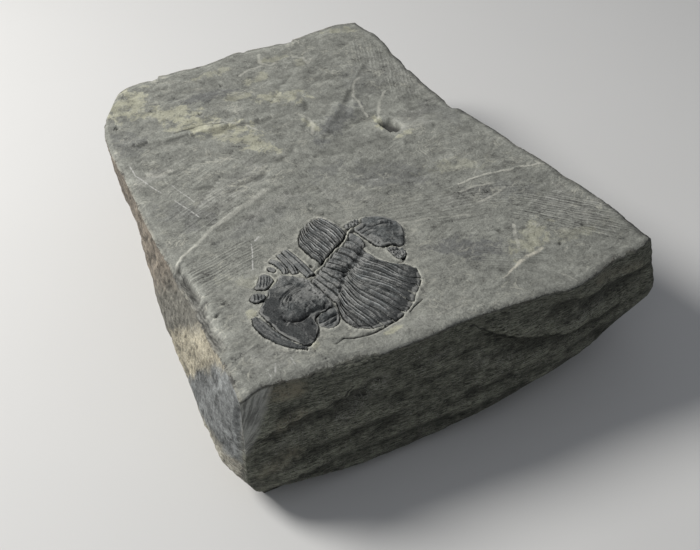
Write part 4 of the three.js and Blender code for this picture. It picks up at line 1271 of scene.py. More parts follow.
# The lines between the thoracic segments, from the head end to the tail end. Each runs from the seam
# over the crown of the axial lobe and the left furrow to the root, and out along the left pleura.
SEGMENT_LINES = [
    [(-20.3, -33.7), (-20.1, -37), (-19.6, -40.3), (-19.3, -42), (-19.9, -43.9), (-20.3, -46),
     (-20.2, -47.9), (-19.5, -49.6)],
    [(-19.3, -33.2), (-18.9, -36.2), (-18, -39.6), (-18.4, -41.4), (-18.8, -43.4), (-18.3, -45.8),
     (-17.6, -48.2), (-16.8, -51.1)],
    [(-18.3, -32.6), (-17.8, -35.2), (-16.9, -38.6), (-17.1, -40.2), (-17, -42.6), (-16.6, -45.5),
     (-15.8, -48), (-14.9, -51.3)],
    [(-17.3, -32), (-16.6, -34.4), (-15.5, -36.8), (-15.4, -38.9), (-15.4, -41.6), (-14.8, -44.4),
     (-13.6, -47), (-12.4, -51.2)],
    [(-16.3, -31.4), (-15.2, -33), (-13.6, -34.7), (-13.9, -37.2), (-13.6, -40), (-12.5, -42.9),
     (-11.2, -46), (-9.6, -50.3)],
    [(-15, -30.4), (-14.1, -32), (-12.6, -34.2), (-12.9, -36.7), (-12, -39.2), (-10.3, -41.3),
     (-8.7, -43.8), (-6.8, -48.4)],
    [(-13.7, -29.4), (-12.9, -31.3), (-11.7, -33.6), (-11.8, -35.8), (-10.5, -37.6), (-8.9, -39.8),
     (-7.4, -42.2), (-5, -46.5)],
    [(-11.8, -28.2), (-10.9, -30.3), (-10, -32.5), (-9.8, -34.7), (-8.4, -36.5), (-7, -38.6),
     (-5.8, -41.2), (-3.2, -44.9)],
    [(-9.8, -27.2), (-9, -29.5), (-8.4, -31.3), (-7.6, -34), (-6.3, -36), (-5.3, -38), (-4.5, -40.6),
     (-1.8, -43.1)],
    [(-7.9, -25.9), (-7.2, -28.1), (-6.9, -30), (-5.9, -34.6), (-4.7, -36.5), (-3.5, -37.3),
     (-2.3, -37.8), (-0.9, -39.8)],
]
LAST_RING_REAR = [(-6.5, -24), (-5.6, -26.4), (-5.7, -28.6)]
# The lines between the loose right pleurae, from the seam out to the tips.
FAN_LINES = [
    [(-16.2, -29.9), (-16.9, -27.4), (-17.1, -25), (-17.1, -22.9), (-16.4, -21)],
    [(-14.9, -29.1), (-15.5, -26.8), (-15.7, -24.2), (-15.7, -21.8), (-14.9, -18.9)],
    [(-13.5, -28.1), (-14, -26), (-14.4, -23.8), (-14.6, -21.2), (-13.7, -17.9)],
    [(-12, -27), (-12.5, -24.6), (-13, -22.2), (-13.3, -19.9), (-12.6, -17.1)],
    [(-10.4, -26.2), (-10.7, -23.9), (-11, -21.6), (-11.4, -19.2), (-11.3, -16.5)],
    [(-8.9, -25.3), (-9, -23.3), (-9.3, -21), (-9.8, -18.7), (-10, -16.4)],
    [(-7.2, -23.5), (-7.5, -22), (-7.9, -20.3), (-8.4, -18.5), (-9, -16.9)],
]
FRONT_PLEURAE = [
    ([(-23.4, -29.4), (-23.2, -27.9), (-23.5, -25.9), (-24.3, -24.3)], 1.2),
    ([(-21.9, -30.5), (-21.7, -28), (-22, -23.4)], 1.3),
    ([(-19.6, -32.3), (-20, -28), (-20.4, -22.7)], 1.9),
]
BORDER_OUTER = [
    (-34.7, -37.9), (-35.4, -40), (-34.9, -43.6), (-33.6, -46.6), (-31.9, -48.9), (-29.9, -50.4),
]
BORDER_INNER = [
    (-33.7, -38.4), (-32.9, -40.4), (-32.5, -42.8), (-31.8, -45.5), (-30.8, -47.9), (-29.6, -49.9),
]
# Plates with a closed outline: the outline and the place that it is drawn round.
OUTLINES = {
    "cranidium": (
        [(-21, -33.9), (-21.9, -32.4), (-22.9, -31.2), (-24, -30.3), (-25.2, -30), (-26.1, -31.1),
         (-27.3, -31.9), (-28.7, -32.7), (-29.3, -34.1), (-30.7, -35.1), (-32.1, -36.4), (-32.9, -37.7),
         (-32.7, -39.2), (-32.5, -41), (-32.2, -43), (-31.6, -45.4), (-30.6, -47.7), (-29.6, -49.5),
         (-28.2, -49.3), (-26.8, -47.9), (-25.5, -46.3), (-25.2, -44.3), (-23.9, -43.1), (-21.9, -42.8),
         (-20.5, -42.2), (-20.3, -39.6), (-20.6, -36.4)],
        (-26.2, -39.4),
    ),
    "left_palpebral_fragment": (
        [(-24.1, -43.7), (-24.9, -45.2), (-24.4, -46.6), (-23.1, -47.3), (-21.6, -46.7), (-20.7, -45.2),
         (-20.4, -43.2), (-22.2, -43.2)],
        (-22.7, -45),
    ),
    "right_cheek_rear_fragment": (
        [(-26.6, -30.2), (-26.6, -28.7), (-27.2, -27.8), (-28.2, -27.8), (-28.9, -28.8), (-29.7, -29.8),
         (-30.7, -30.7), (-30, -31.4), (-28.9, -31.8), (-27.6, -31.1)],
        (-28.2, -29.9),
    ),
    "right_cheek_front_fragment": (
        [(-29.9, -33.6), (-30.6, -32.5), (-31.6, -32.1), (-32.5, -32.8), (-32.8, -33.7), (-31.8, -34.5),
         (-30.6, -34.4)],
        (-31.4, -33.4),
    ),
    "pleural_spine_fragment": (
        [(-25, -28.1), (-24.75, -27.2), (-25.2, -26.4), (-25.8, -26.3), (-25.9, -27.1), (-25.5, -27.9)],
        (-25.35, -27.2),
    ),
    "pygidium": (
        [(3.5, -26.1), (3.1, -24.6), (2.2, -23.2), (0.8, -22.1), (-0.8, -21.3), (-2.2, -21.3),
         (-2.8, -22.5), (-4, -23.2), (-5.2, -23.6), (-5.2, -25), (-5, -26.4), (-4.5, -28),
         (-4.2, -29.6), (-3.5, -31), (-2.4, -31.3), (-1.2, -31.7), (0, -32.8), (0.9, -32.4),
         (1.9, -30.9), (2.8, -29), (3.4, -27.5)],
        (-0.6, -26.9),
    ),
    "pygidium_right_fragment": (
        [(-3, -21.5), (-3.6, -21), (-4.8, -21), (-5.8, -21.4), (-6.5, -22.1), (-6, -22.7),
         (-4.7, -22.5), (-3.4, -22.3)],
        (-4.8, -21.8),
    ),
    "pygidium_left_fragment": (
        [(0.1, -33.8), (-0.2, -35), (-1, -36.1), (-2, -36.3), (-2.5, -35.1), (-2.7, -33.6),
         (-2.6, -32.2), (-1.4, -32.3), (-0.5, -33.2)],
        (-1.4, -34.3),
    ),
}
FURROW_SHARE = 2 / 7  # where the axial furrow lies along a segment
ROOT_SHARE = 3 / 7  # where the pleura begins
LOWEST_EDGE = -0.35  # how far a plate's edge falls at most, in mm
HIGHEST_CREST = 1.75  # how high a plate rises at most, in mm
FRONT_CREST = 0.5  # how strongly the first rings are arched, which are crushed
REAR_CREST = 0.72
SOCKETS = [
    (-16.7, -38.3, 0.5), (-17, -39.4, 0.3), (-15.2, -36.9, 0.4), (-14.2, -35.5, 0.4),
    (-13.4, -34.65, 0.65), (-11.75, -33.75, 0.55), (-10, -32.6, 0.55), (-8.3, -31.3, 0.6),
    (-6.8, -29.6, 0.6),
]


def neighbour_smooth(mesh, values, passes):
    """Values averaged with their neighbours over the mesh, several times."""
    ends = np.zeros(len(mesh.edges) * 2, np.int64)
    mesh.edges.foreach_get("vertices", ends)
    a, b = ends.reshape(-1, 2).T
    count = np.bincount(a, minlength=len(values)) + np.bincount(b, minlength=len(values))
    for _ in range(passes):
        total = np.bincount(a, values[b], len(values)) + np.bincount(b, values[a], len(values))
        values = 0.5 * values + 0.5 * total / count
    return values


def weathering(x, y):
    """Fine pitting and waviness of the plates' surface, in mm."""
    flat = flat_points(x, y)
    rough = 0.035 * fractal(flat, 0.55, 3, 83) + 0.06 * fractal(flat, 2.6, 2, 89)
    rough -= 0.07 * smoothstep(fractal(flat, 0.75, 2, 97), 0.4, 0.7)
    return rough.reshape(np.shape(x))


def stuck_rock(x, y, distance):
    """Extra dust where bits of rock still lap over a plate's edge."""
    reach = 0.5 + 0.7 * grain_at(x, y, 1.2, 227)
    return 1.6 * (1 - smoothstep(distance, 0.3 * reach, np.maximum(reach, 0.05))) * (reach > 0.3)


def rim_fall(distance, radius):
    """How far a plate's surface drops near its edge, as a rounded corner."""
    inward = np.clip(1 - distance / radius, 0, 1)
    return radius * (1 - np.sqrt(1 - inward * inward))


def plate_object(name, places, height, inward, loop, faces, tone, dust, material):
    """A closed plate from its upper surface, with walls down from its loop of edge points.

    inward is how far each point lies from the plate's edge.
    """
    top = np.column_stack([places, BEDDING + height])
    top[:, 2] = np.minimum(top[:, 2], BEDDING + HIGHEST_CREST)
    edge = top[loop]
    outward = edge[:, :2] - places.mean(axis=0)
    reach = np.linalg.norm(outward, axis=1)[:, None]
    walls = []
    for share, bulge in ((0.35, 0.03), (0.75, 0.0), (1.0, -0.03)):
        ring = edge.copy()
        ring[:, :2] += bulge * outward / reach
        ring[:, 2] = lerp(edge[:, 2], PLATE_FLOOR, share)
        walls.append(ring)
    vertices = np.vstack([top] + walls)
    vertices[:, :2] += PLAN_ZERO
    rings = [loop] + [len(top) + k * len(loop) + np.arange(len(loop)) for k in range(len(walls))]
    for upper, lower in zip(rings, rings[1:]):
        faces += loop_faces(upper, lower)
    faces += [rings[-1].tolist()]
    piece = make_object(name + "_relief", vertices, faces)
    solid = bmesh.new()
    solid.from_mesh(piece.data)
    bmesh.ops.recalc_face_normals(solid, faces=solid.faces)
    solid.to_mesh(piece.data)
    solid.free()
    mesh = piece.data
    below = len(vertices) - len(top)
    shape = vertices[:, 2] - neighbour_smooth(mesh, vertices[:, 2], 26)
    on_top = np.concatenate([np.ones(len(top)), np.zeros(below)])
    within = np.concatenate([smoothstep(inward, 0.12, 0.4), np.zeros(below)])
    # Painted shade: the hollows of the top, and the walls below it all over; the walls also get a low tone.
    store_mask(mesh, "hollow", np.where(on_top > 0, np.clip((-shape - 0.015) * 9.5, 0, 1), 1.0))
    store_mask(mesh, "crest", np.clip((shape - 0.05) * 8.0, 0, 1) * within)
    store_mask(mesh, "tone", np.concatenate([tone, np.full(below, 0.4)]))
    store_mask(mesh, "dust", np.concatenate([dust, np.full(below, 0.1)]))
    finish_piece(piece, [name], material)


def band_plate(name, front, rear, relief, finish, material, step=0.13, taper=None):
    """A plate between two lines. relief and finish take along, across, x and y, each as a grid."""
    probe = np.linspace(0, 1, 60)
    length = np.linalg.norm(np.diff(front(probe), axis=0), axis=1).sum()
    widest = np.linalg.norm(front(probe) - rear(probe), axis=1).max()
    along = np.linspace(0, 1, int(length / step) + 2)
    across = np.linspace(0, 1, int(widest / step * 1.25) + 6)
    across = lerp(across, 0.5 - 0.5 * np.cos(np.pi * across), 0.35)
    along_grid, across_grid = np.meshgrid(along, across, indexing="ij")
    a = front(along)[:, None, :]
    b = rear(along)[:, None, :]
    width = np.maximum(np.linalg.norm(b - a, axis=2), 0.05)
    inset = np.minimum(PLATE_GAP / 2 / width, 0.35)
    share = taper(along_grid, across_grid) if taper else across_grid
    places = a + (b - a) * lerp(inset, 1 - inset, share)[..., None]
    x = places[..., 0]
    y = places[..., 1]
    wander = flat_points(x, y)
    ends = smoothstep(np.abs(along_grid - 0.5), 0.46, 0.5)
    fine = 0.07 * fractal(wander, 0.9, 2, 127).reshape(x.shape) * (2 * np.abs(across_grid - 0.5)) ** 2
    broad = 0.3 * noise(wander, 1.3, 129).reshape(x.shape) * ends
    places = places + (fine + broad)[..., None]
    height = relief(along_grid, across_grid, x, y) + weathering(x, y)
    to_side = np.minimum(across_grid, 1 - across_grid) * width
    to_end = np.minimum(along_grid, 1 - along_grid) * length
    height = height - rim_fall(np.minimum(to_side, to_end), 0.14)
    height = np.maximum(height, LOWEST_EDGE)
    rows, columns = height.shape
    faces = grid_faces(rows, columns)
    loop = grid_outline(rows, columns) @ (columns, 1)
    tone, dust = finish(along_grid, across_grid, x, y)
    tone = np.broadcast_to(tone, x.shape).ravel()
    dust = (dust + stuck_rock(x, y, to_end)).ravel()
    inward = np.minimum(to_side, to_end).ravel()
    places = places.reshape(-1, 2)
    plate_object(name, places, height.ravel(), inward, loop, faces, tone, dust, material)


def outlined_plate(name, relief, finish, material, step=0.16):
    """A plate with a closed outline. relief and finish take x and y."""
    outline, centre = OUTLINES[name]
    edge = smooth_curve(outline, closed=True)
    probe = edge(np.linspace(0, 1, 200))
    length = np.linalg.norm(np.diff(probe, axis=0), axis=1).sum()
    reach = np.linalg.norm(probe - centre, axis=1).max()
    around = int(length / step)
    rings = int(reach / step * 0.9) + 4
    turn = np.arange(around) / around
    rim = edge(turn)
    chips = 0.17 * fractal(flat_points(*rim.T), 0.9, 3, 131)
    outward = rim - centre
    reach = np.linalg.norm(outward, axis=1)
    rim = rim + outward / reach[:, None] * chips[:, None]
    shares = np.append(np.linspace(1 / rings, 1 - 0.5 / rings, rings), 1.0)
    places = np.array(centre) + shares[:, None, None] * (rim - centre)[None, :, :]
    places = np.vstack([[centre], places.reshape(-1, 2)])
    to_rim = np.append(reach.min(), ((1 - shares)[:, None] * reach[None, :]).ravel())
    x = places[:, 0]
    y = places[:, 1]
    height = relief(x, y) + weathering(x, y) - rim_fall(to_rim, 0.15)
    height = np.maximum(height, LOWEST_EDGE)
    loop = 1 + np.arange(around)
    after = np.roll(loop, -1)
    faces = np.stack([np.zeros(around, int), loop, after], axis=1).tolist()
    for ring in range(len(shares) - 1):
        inner = ring * around
        outer = inner + around
        faces += np.stack([inner + loop, outer + loop, outer + after, inner + after], axis=1).tolist()
    loop = loop + (len(shares) - 1) * around
    tone, dust = finish(x, y)
    tone = np.broadcast_to(tone, x.shape)
    dust = dust + stuck_rock(x, y, to_rim)
    plate_object(name, places, height, to_rim, loop, faces, tone, dust, material)


def furrows(x, y, paths):
    """Narrow furrows and ridges along paths, as a height. Each path has a width and a height."""
    total = np.zeros_like(x)
    for points, width, height in paths:
        distance, along = path_distance(x, y, points)
        fade = smoothstep(along, 0.0, 0.08) * (1 - smoothstep(along, 0.92, 1.0))
        total += height * (0.35 + 0.65 * fade) * bell(distance, width)
    return total


def grain_at(x, y, cell, seed):
    flat = flat_points(x, y)
    return fractal(flat, cell, 2, seed).reshape(np.shape(x))


HEAD_LINES = [
    # The deep furrow round the front and lower side of the glabella.
    ([(-29.9, -40.9), (-29.6, -41.7), (-28.9, -42.4), (-27.6, -42.9), (-26.2, -42.6),
      (-24.9, -42), (-23.5, -41.9), (-22, -42), (-21.2, -41.4)], 0.42, -0.6),
    ([(-28.9, -42.5), (-27.6, -43), (-26.2, -42.8), (-25, -42.2)], 0.28, -0.35),
    # The rock-filled crack above it, and wrinkles that follow its upper side.
    ([(-28.6, -37.2), (-27.6, -36), (-26.3, -35.1), (-24.6, -34.5), (-22.6, -34.2)], 0.16, -0.08),
    ([(-28.9, -38.2), (-28, -36.6), (-26.7, -35.5), (-25, -34.8)], 0.14, 0.2),
    ([(-28.2, -39.4), (-27.4, -37.9), (-26.2, -36.7), (-24.4, -36.1)], 0.13, 0.16),
    ([(-27.8, -40), (-26.8, -38.5), (-25.3, -37.3), (-23.4, -36.7)], 0.2, -0.1),
    ([(-27.6, -37), (-26.4, -35.9), (-24.8, -35.2), (-22.8, -34.9)], 0.16, 0.2),
    ([(-28, -38), (-26.9, -36.8), (-25.2, -35.9), (-23.2, -35.6)], 0.14, -0.1),
    ([(-28.5, -36.2), (-27, -35), (-25, -34.1), (-23, -33.7)], 0.16, 0.14),
    ([(-26.4, -33), (-24.6, -32.9), (-22.8, -33.3)], 0.16, -0.1),
    ([(-26.95, -37.45), (-26.1, -36.4)], 0.16, 0.35),
    ([(-28.6, -38.3), (-28.3, -37.2)], 0.16, 0.16),
    # Side furrows of the glabella.
    ([(-25.6, -41.7), (-25, -40.6), (-24.2, -40.2)], 0.28, -0.2),
    ([(-23.2, -41.3), (-23.5, -40.2), (-23.2, -39.6)], 0.2, 0.2),
    ([(-22, -36.2), (-21.6, -38), (-21.7, -40.3)], 0.3, -0.2),
    ([(-21.2, -35), (-21, -36.4)], 0.15, 0.25),
    # Wear on the broad smooth field in front.
    ([(-32.4, -41.2), (-32, -42.4)], 0.2, 0.12),
    ([(-29.4, -42.6), (-29.6, -43)], 0.3, 0.2),
    ([(-26, -44.8), (-25.6, -45.3)], 0.3, -0.3),
]
HEAD_DOME = {"centre": (-24.9, -39.1), "half": (5.0, 4.0), "angle": 28}


def cranidium_relief(x, y):
    dome = np.clip(ellipse(x, y, **HEAD_DOME), 0, 1)
    lower = smoothstep(y + 0.1 * x, -42.4, -44.4)
    dome = lerp(smoothstep(dome, -0.1, 0.9), np.sqrt(1 - (1 - dome) ** 2), lower)
    height = 0.4 + 0.36 * dome * (1 - 0.25 * smoothstep(y, -38.5, -35))
    height += 0.3 * smoothstep(ellipse(x, y, (-27.5, -41.2), (1.5, 1.15), 10), 0.0, 0.8)
    height -= 0.2 * smoothstep(ellipse(x, y, (-30.4, -44.6), (4.4, 2.6), -62), 0.0, 0.7)
    broken = smoothstep(x, -22.6, -21.2)
    height += broken * (0.22 + 0.3 * np.abs(grain_at(x, y, 0.8, 147)) + 0.1 * grain_at(x, y, 0.35, 148))
    crumple = smoothstep(y, -35.2, -33) * smoothstep(x, -29, -26)
    height += crumple * (0.2 * grain_at(x, y, 0.8, 137) + 0.1)
    uneven = 0.1 * grain_at(x, y, 1.3, 139) + 0.07 * grain_at(x, y, 0.6, 145)
    height += uneven * smoothstep(dome, 0.05, 0.3)
    return height + furrows(x, y, HEAD_LINES)


def cranidium_finish(x, y):
    glabella = smoothstep(ellipse(x, y, **HEAD_DOME), -0.1, 0.15)
    rear = smoothstep(y, -35.5, -33) * smoothstep(x, -29.5, -26.5)
    back = smoothstep(x, -23.5, -20.8) * smoothstep(y, -42, -39)
    mottle = 0.22 * grain_at(x, y, 0.8, 241) + 0.16 * grain_at(x, y, 0.35, 243)
    tone = 0.42 + 0.22 * glabella + 0.36 * rear + 0.2 * back + mottle * np.maximum(glabella, back)
    upper = smoothstep(y, -40.5, -36) * glabella
    dust = 0.06 + 0.2 * glabella + 0.55 * upper + 0.6 * rear + 0.6 * back
    return tone, np.clip(dust, 0, 1)


CHEEK_LINES = [
    ([(-29.9, -31), (-29, -29.6), (-28.3, -28.2)], 0.13, 0.2),
    ([(-29.3, -31.3), (-28.4, -29.9), (-27.7, -28.3)], 0.13, 0.2),
    ([(-28.7, -31.4), (-27.9, -30.1), (-27.2, -28.6)], 0.13, 0.2),
    ([(-28, -31), (-27.3, -30), (-26.9, -29.2)], 0.13, 0.16),
    ([(-32.4, -34), (-32, -33.1), (-31.7, -32.4)], 0.13, 0.2),
    ([(-31.8, -34.3), (-31.4, -33.4), (-31.1, -32.5)], 0.13, 0.2),
    ([(-31.1, -34.3), (-30.8, -33.5), (-30.5, -32.9)], 0.13, 0.16),
]


def cheek_relief(x, y):
    return 0.35 + 0.12 * grain_at(x, y, 0.7, 149) + furrows(x, y, CHEEK_LINES)


PALPEBRAL_LINES = [
    ([(-24.9, -45.1), (-23.6, -45.3), (-22.2, -44.8), (-20.8, -44.7)], 0.2, -0.3),
    ([(-24.3, -46.3), (-22.9, -46.3), (-21.3, -45.7)], 0.18, -0.25),
    ([(-24, -45.8), (-22.6, -45.7), (-21.2, -45.2)], 0.15, 0.2),
]


def palpebral_relief(x, y):
    ledge = 0.3 * smoothstep(y, -44.9, -44.3)
    lines = furrows(x, y, PALPEBRAL_LINES) + 0.12 * grain_at(x, y, 0.8, 151)
    return 0.22 + ledge + lines - 0.2 * smoothstep(y, -46.3, -47.2)


def border_relief(along, across, x, y):
    fullness = 0.7 + 0.3 * np.sin(np.pi * along)
    lines = 0.05 * np.sin(across * 19 + 2 * grain_at(x, y, 2.0, 157))
    return 0.08 + (0.5 * np.sin(np.pi * across) ** 0.8 + lines) * fullness


def border_finish(along, across, x, y):
    inner = smoothstep(across, 0.35, 0.7)
    mottle = 0.16 * grain_at(x, y, 1.6, 281) + 0.14 * grain_at(x, y, 0.5, 283)
    dust = 0.1 + 0.6 * inner * (1 - smoothstep(along, 0.6, 0.9)) + 1.2 * mottle
    return 0.52 + 0.5 * inner + mottle, np.clip(dust, 0, 1)


TAIL_LINES = [
    ([(0, -24.3), (0.9, -24.4), (1.9, -24.8)], 0.3, 0.38),
    ([(-2.8, -24.5), (-1.4, -24.9), (0, -24.9), (1.6, -25.3), (2.6, -26)], 0.2, -0.22),
    ([(1.3, -26.6), (2, -25.3)], 0.1, 0.1),
    ([(0.3, -29.6), (1, -28.2)], 0.1, 0.08),
    ([(-5, -24.6), (-3.4, -24.2), (-2.4, -23.6)], 0.22, -0.25),
    ([(-4.9, -25.8), (-3.2, -25.4), (-1.6, -25.5)], 0.22, -0.2),
    ([(-4.6, -27), (-3, -26.6), (-1.6, -26.9)], 0.22, -0.18),
    ([(-2.2, -28.2), (-1.2, -29.2), (-0.8, -30.6)], 0.25, -0.14),
    ([(-2.2, -31.6), (-1.3, -31.8), (-0.3, -32.4)], 0.18, 0.3),
    ([(2, -26.2), (2.3, -26)], 0.3, -0.2),
]


def tail_relief(x, y):
    field = np.clip(ellipse(x, y, (-0.4, -26.8), (6.0, 7.2), 0), 0, 1)
    height = 0.3 + 0.45 * np.sqrt(field)
    rough = smoothstep(ellipse(x, y, (-4, -29), (1.5, 2.6), 10), 0.0, 0.5)
    height += rough * (0.3 * np.abs(grain_at(x, y, 0.6, 163)) - 0.2) + 0.06 * grain_at(x, y, 1.5, 165)
    return height + furrows(x, y, TAIL_LINES)


def tail_finish(x, y):
    rough = smoothstep(ellipse(x, y, (-3.9, -29), (1.9, 3), 10), 0.0, 0.5)
    axis = smoothstep(x, -2, -4) * smoothstep(y, -28.5, -26)
    crushed = smoothstep(ellipse(x, y, (-3.8, -29.6), (1.1, 2.6), 25), 0.0, 0.4)
    bright = smoothstep(grain_at(x, y, 0.42, 263), lerp(0.35, 0.1, crushed), 0.6) * (rough + 0.25)
    dark = smoothstep(ellipse(x, y, (0.8, -28.8), (2.6, 3.2), -20), 0.0, 0.5)
    ridge = bell(path_distance(x, y, [(-4.2, -25.7), (-0.5, -25.3), (1.7, -24.8)])[0], 0.2)
    mottle = 0.3 * grain_at(x, y, 2.2, 269) + 0.42 * grain_at(x, y, 0.6, 271)
    tone = 0.82 + 0.25 * axis + 0.2 * rough + 0.12 * smoothstep(y, -25, -23.5)
    tone = tone + mottle + 2.2 * bright - 0.2 * dark + 0.5 * ridge
    return np.maximum(tone, 0.1), np.clip(0.25 + 0.8 * rough + 0.4 * axis + 0.5 * mottle, 0, 1.2)


def granular_relief(x, y):
    return 0.1 + 0.75 * np.abs(grain_at(x, y, 0.75, 103)) + 0.15 * grain_at(x, y, 0.3, 107)


def ridge_pair(across, sharpness=0.1):
    """A crisp ridge across a pleura and a weaker one beside it, between 0 and 1."""
    return bell(across - 0.26, sharpness) + 0.6 * bell(across - 0.72, sharpness)


def segment_relief(crest, number):
    """The relief of a thoracic segment: an arched ring, the axial furrow and a ridged pleura."""

    def relief(along, across, x, y):
        ring_share = np.clip(along / FURROW_SHARE, 0, 1)
        arch = 0.42 + 0.5 * np.sin(np.pi * ring_share) ** 0.6
        side = np.minimum(across, 1 - across)
        ring = arch * crest - 0.2 * (2 * np.abs(across - 0.5)) ** 3
        ring = ring - 0.55 * bell(side, 0.13) + 0.15 * across
        ring += -0.16 * bell(across - 0.25, 0.08) + 0.17 * grain_at(x, y, 0.9, 167)
        ring += 0.13 * bell(across - 0.62, 0.11) * (1 + 0.6 * grain_at(x, y, 1.3, 251))
        pleura = np.clip((along - 0.32) / 0.68, 0, 1)
        broken = 1 + 0.45 * grain_at(x, y, 1.6, 173 + number)
        ridges = ridge_pair(across + 0.05 * grain_at(x, y, 2.4, 179))
        swell = lerp(0.5, 0.05, pleura**2.0) - 0.1 * (1 - pleura) ** 5
        fade = (1 - 0.85 * smoothstep(pleura, 0.78, 0.92)) * smoothstep(pleura, -0.1, 0.12)
        limb = swell - 0.08 + 0.46 * ridges * fade * broken
        limb -= 0.38 * bell(across - 0.49, 0.09) * fade * smoothstep(grain_at(x, y, 1.9, 181), -0.6, 0.2)
        shift = smoothstep(along, FURROW_SHARE - 0.02, 0.36)
        height = lerp(ring, limb, shift) - 0.1 * bell(along - 0.315, 0.03)
        for px, py, radius in SOCKETS:
            height = height - 0.75 * np.exp(-((np.hypot(x - px, y - py) / radius) ** 3))
        return height

    return relief


def segment_finish(number):
    def finish(along, across, x, y):
        pleura = np.clip((along - ROOT_SHARE) / (1 - ROOT_SHARE), 0, 1)
        ridges = ridge_pair(across, 0.07) * smoothstep(pleura, -0.1, 0.1)
        ridges = ridges * (1 - smoothstep(pleura, 0.78, 0.9))
        ridges = ridges * smoothstep(grain_at(x, y, 1.4, 229), -0.5, 0.1)
        crumpled = 1 - smoothstep(number + 3 * (along > ROOT_SHARE), 3, 5)
        tone = 0.47 + 1.75 * ridges - 0.12 * smoothstep(pleura, 0.8, 0.95) + 0.1 * crumpled
        if number == 1:
            tone = tone - 0.3 * smoothstep(pleura, 0.25, 0.5)
        dust = 0.35 + 0.25 * crumpled + 0.1 * ridges - 0.3 * smoothstep(pleura, 0.75, 0.95)
        # Painted shade in the grooves between the rings.
        ring = (along < 0.31) * bell(np.minimum(across, 1 - across), 0.12)
        line = (along < 0.3) * bell(across - 0.62, 0.09) * smoothstep(grain_at(x, y, 1.2, 257), -0.3, 0.3)
        tone = lerp(tone, 0.12, 0.85 * ring) + 0.75 * line
        root = bell(along - 0.38, 0.05) * smoothstep(grain_at(x, y, 1.0, 239), -0.2, 0.2)
        return tone + 0.3 * root, np.clip(dust + 0.4 * root - 0.4 * ring, 0, 1)

    return finish


def fan_relief(along, across, x, y):
    arch = lerp(0.3, 0.78, np.sin(np.pi * along**0.8)) - 0.2 * along
    ridges = ridge_pair(across + 0.06 * grain_at(x, y, 2.2, 191))
    broken = 1 + 0.45 * grain_at(x, y, 1.5, 193)
    lines = -0.36 * bell(across - 0.49, 0.09) * smoothstep(grain_at(x, y, 1.9, 197), -0.6, 0.2)
    beads = 0.06 * np.sin(along * 95) * bell(x + 15.6, 0.5) * smoothstep(y, -24.5, -26)
    return arch - 0.08 + 0.42 * ridges * broken + lines + beads


def fan_finish(along, across, x, y):
    ridges = ridge_pair(across, 0.07) * smoothstep(grain_at(x, y, 1.4, 233), -0.5, 0.1)
    tips = smoothstep(along, 0.72, 0.95) * smoothstep(-x, 10.5, 12.5)
    return 0.49 + 1.7 * ridges, np.clip(0.25 + 0.8 * tips + 0.1 * ridges, 0, 1.4)


def finger_relief(along, across, x, y):
    fullness = np.sin(np.pi * lerp(0.25, 0.9, along))
    ridge = bell(across - 0.35, 0.16) + 0.7 * bell(across - 0.78, 0.12)
    return 0.05 + (0.22 + 0.45 * ridge * (1 + 0.5 * grain_at(x, y, 1.3, 199))) * fullness


def even_finish(tone, dust):
    return lambda *places: (tone, dust)


def guide(points):
    return smooth_curve(points, even=False)


def finger_edges(path, width):
    """The two edges of a finger-like pleura that follows a path."""
    line = smooth_curve(path)

    def side(sign):
        def edge(t):
            ahead = line(np.minimum(t + 0.01, 1)) - line(np.maximum(t - 0.01, 0))
            ahead = ahead / np.linalg.norm(ahead, axis=1)[:, None]
            half = (width / 2 + PLATE_GAP / 2) * (0.55 + 0.45 * np.sin(np.pi * lerp(0.3, 0.85, t)))
            return line(t) + sign * half[:, None] * np.stack([-ahead[:, 1], ahead[:, 0]], axis=1)

        return edge

    return side(1), side(-1)


def tips_taper(share, start):
    """Narrows a band towards its end, where start is the share at which that begins."""

    def taper(along, across):
        return lerp(across, 0.5 + (across - 0.5) * share, smoothstep(along, start, 1))

    return taper


def plate_material(settings):
    """Dark blue-grey calcite with painted shade in the grooves and down the walls, worn and dusty on the
    crests.
    """
    material, graph, position, shader = new_material("fossil_calcite")
    grain = graph.group("Stone Grain", position, Grain=0.2, Mottle=1.9)
    masks = {"Hollow": graph.mask("hollow"), "Crest": graph.mask("crest"), "Amount": graph.mask("dust")}
    dust_and_shade = graph.group("Dust And Painted Shade", position, **masks)
    level = graph.ramp(grain["Shade"], -0.3, 0.3, 0.5, 1.5) * graph.mask("tone")
    base = graph.shade((*settings.plate_colour, 1.0), level)
    worn = graph.shade(grey(0.33, 0.02), 0.3 + 0.7 * graph.mask("tone"))
    colour = graph.mix(dust_and_shade["Worn"] * 0.85, base, worn)
    colour = graph.mix(dust_and_shade["Dust"] * 0.7, colour, (*settings.dust_colour, 1.0))
    # Painted shade: the groove colour in the hollows and down the walls.
    colour = graph.mix(dust_and_shade["Depth"] * 0.93, colour, (*settings.groove_shade_colour, 1.0))
    colour = graph.mix(grain["Specks"] * 0.42, colour, grey(0.36, 0.04))
    graph.feed(shader.inputs["Base Color"], colour)
    graph.feed(shader.inputs["Roughness"], graph.ramp(grain["Shade"], -0.2, 0.2, 0.42, 0.7))
    shader.inputs["Specular IOR Level"].default_value = 0.4
    graph.bump(shader, 0.7, 0.12 * MM, grain["Height"])
    return material


def shared_plate_material(settings):
    return bpy.data.materials.get("fossil_calcite") or plate_material(settings)


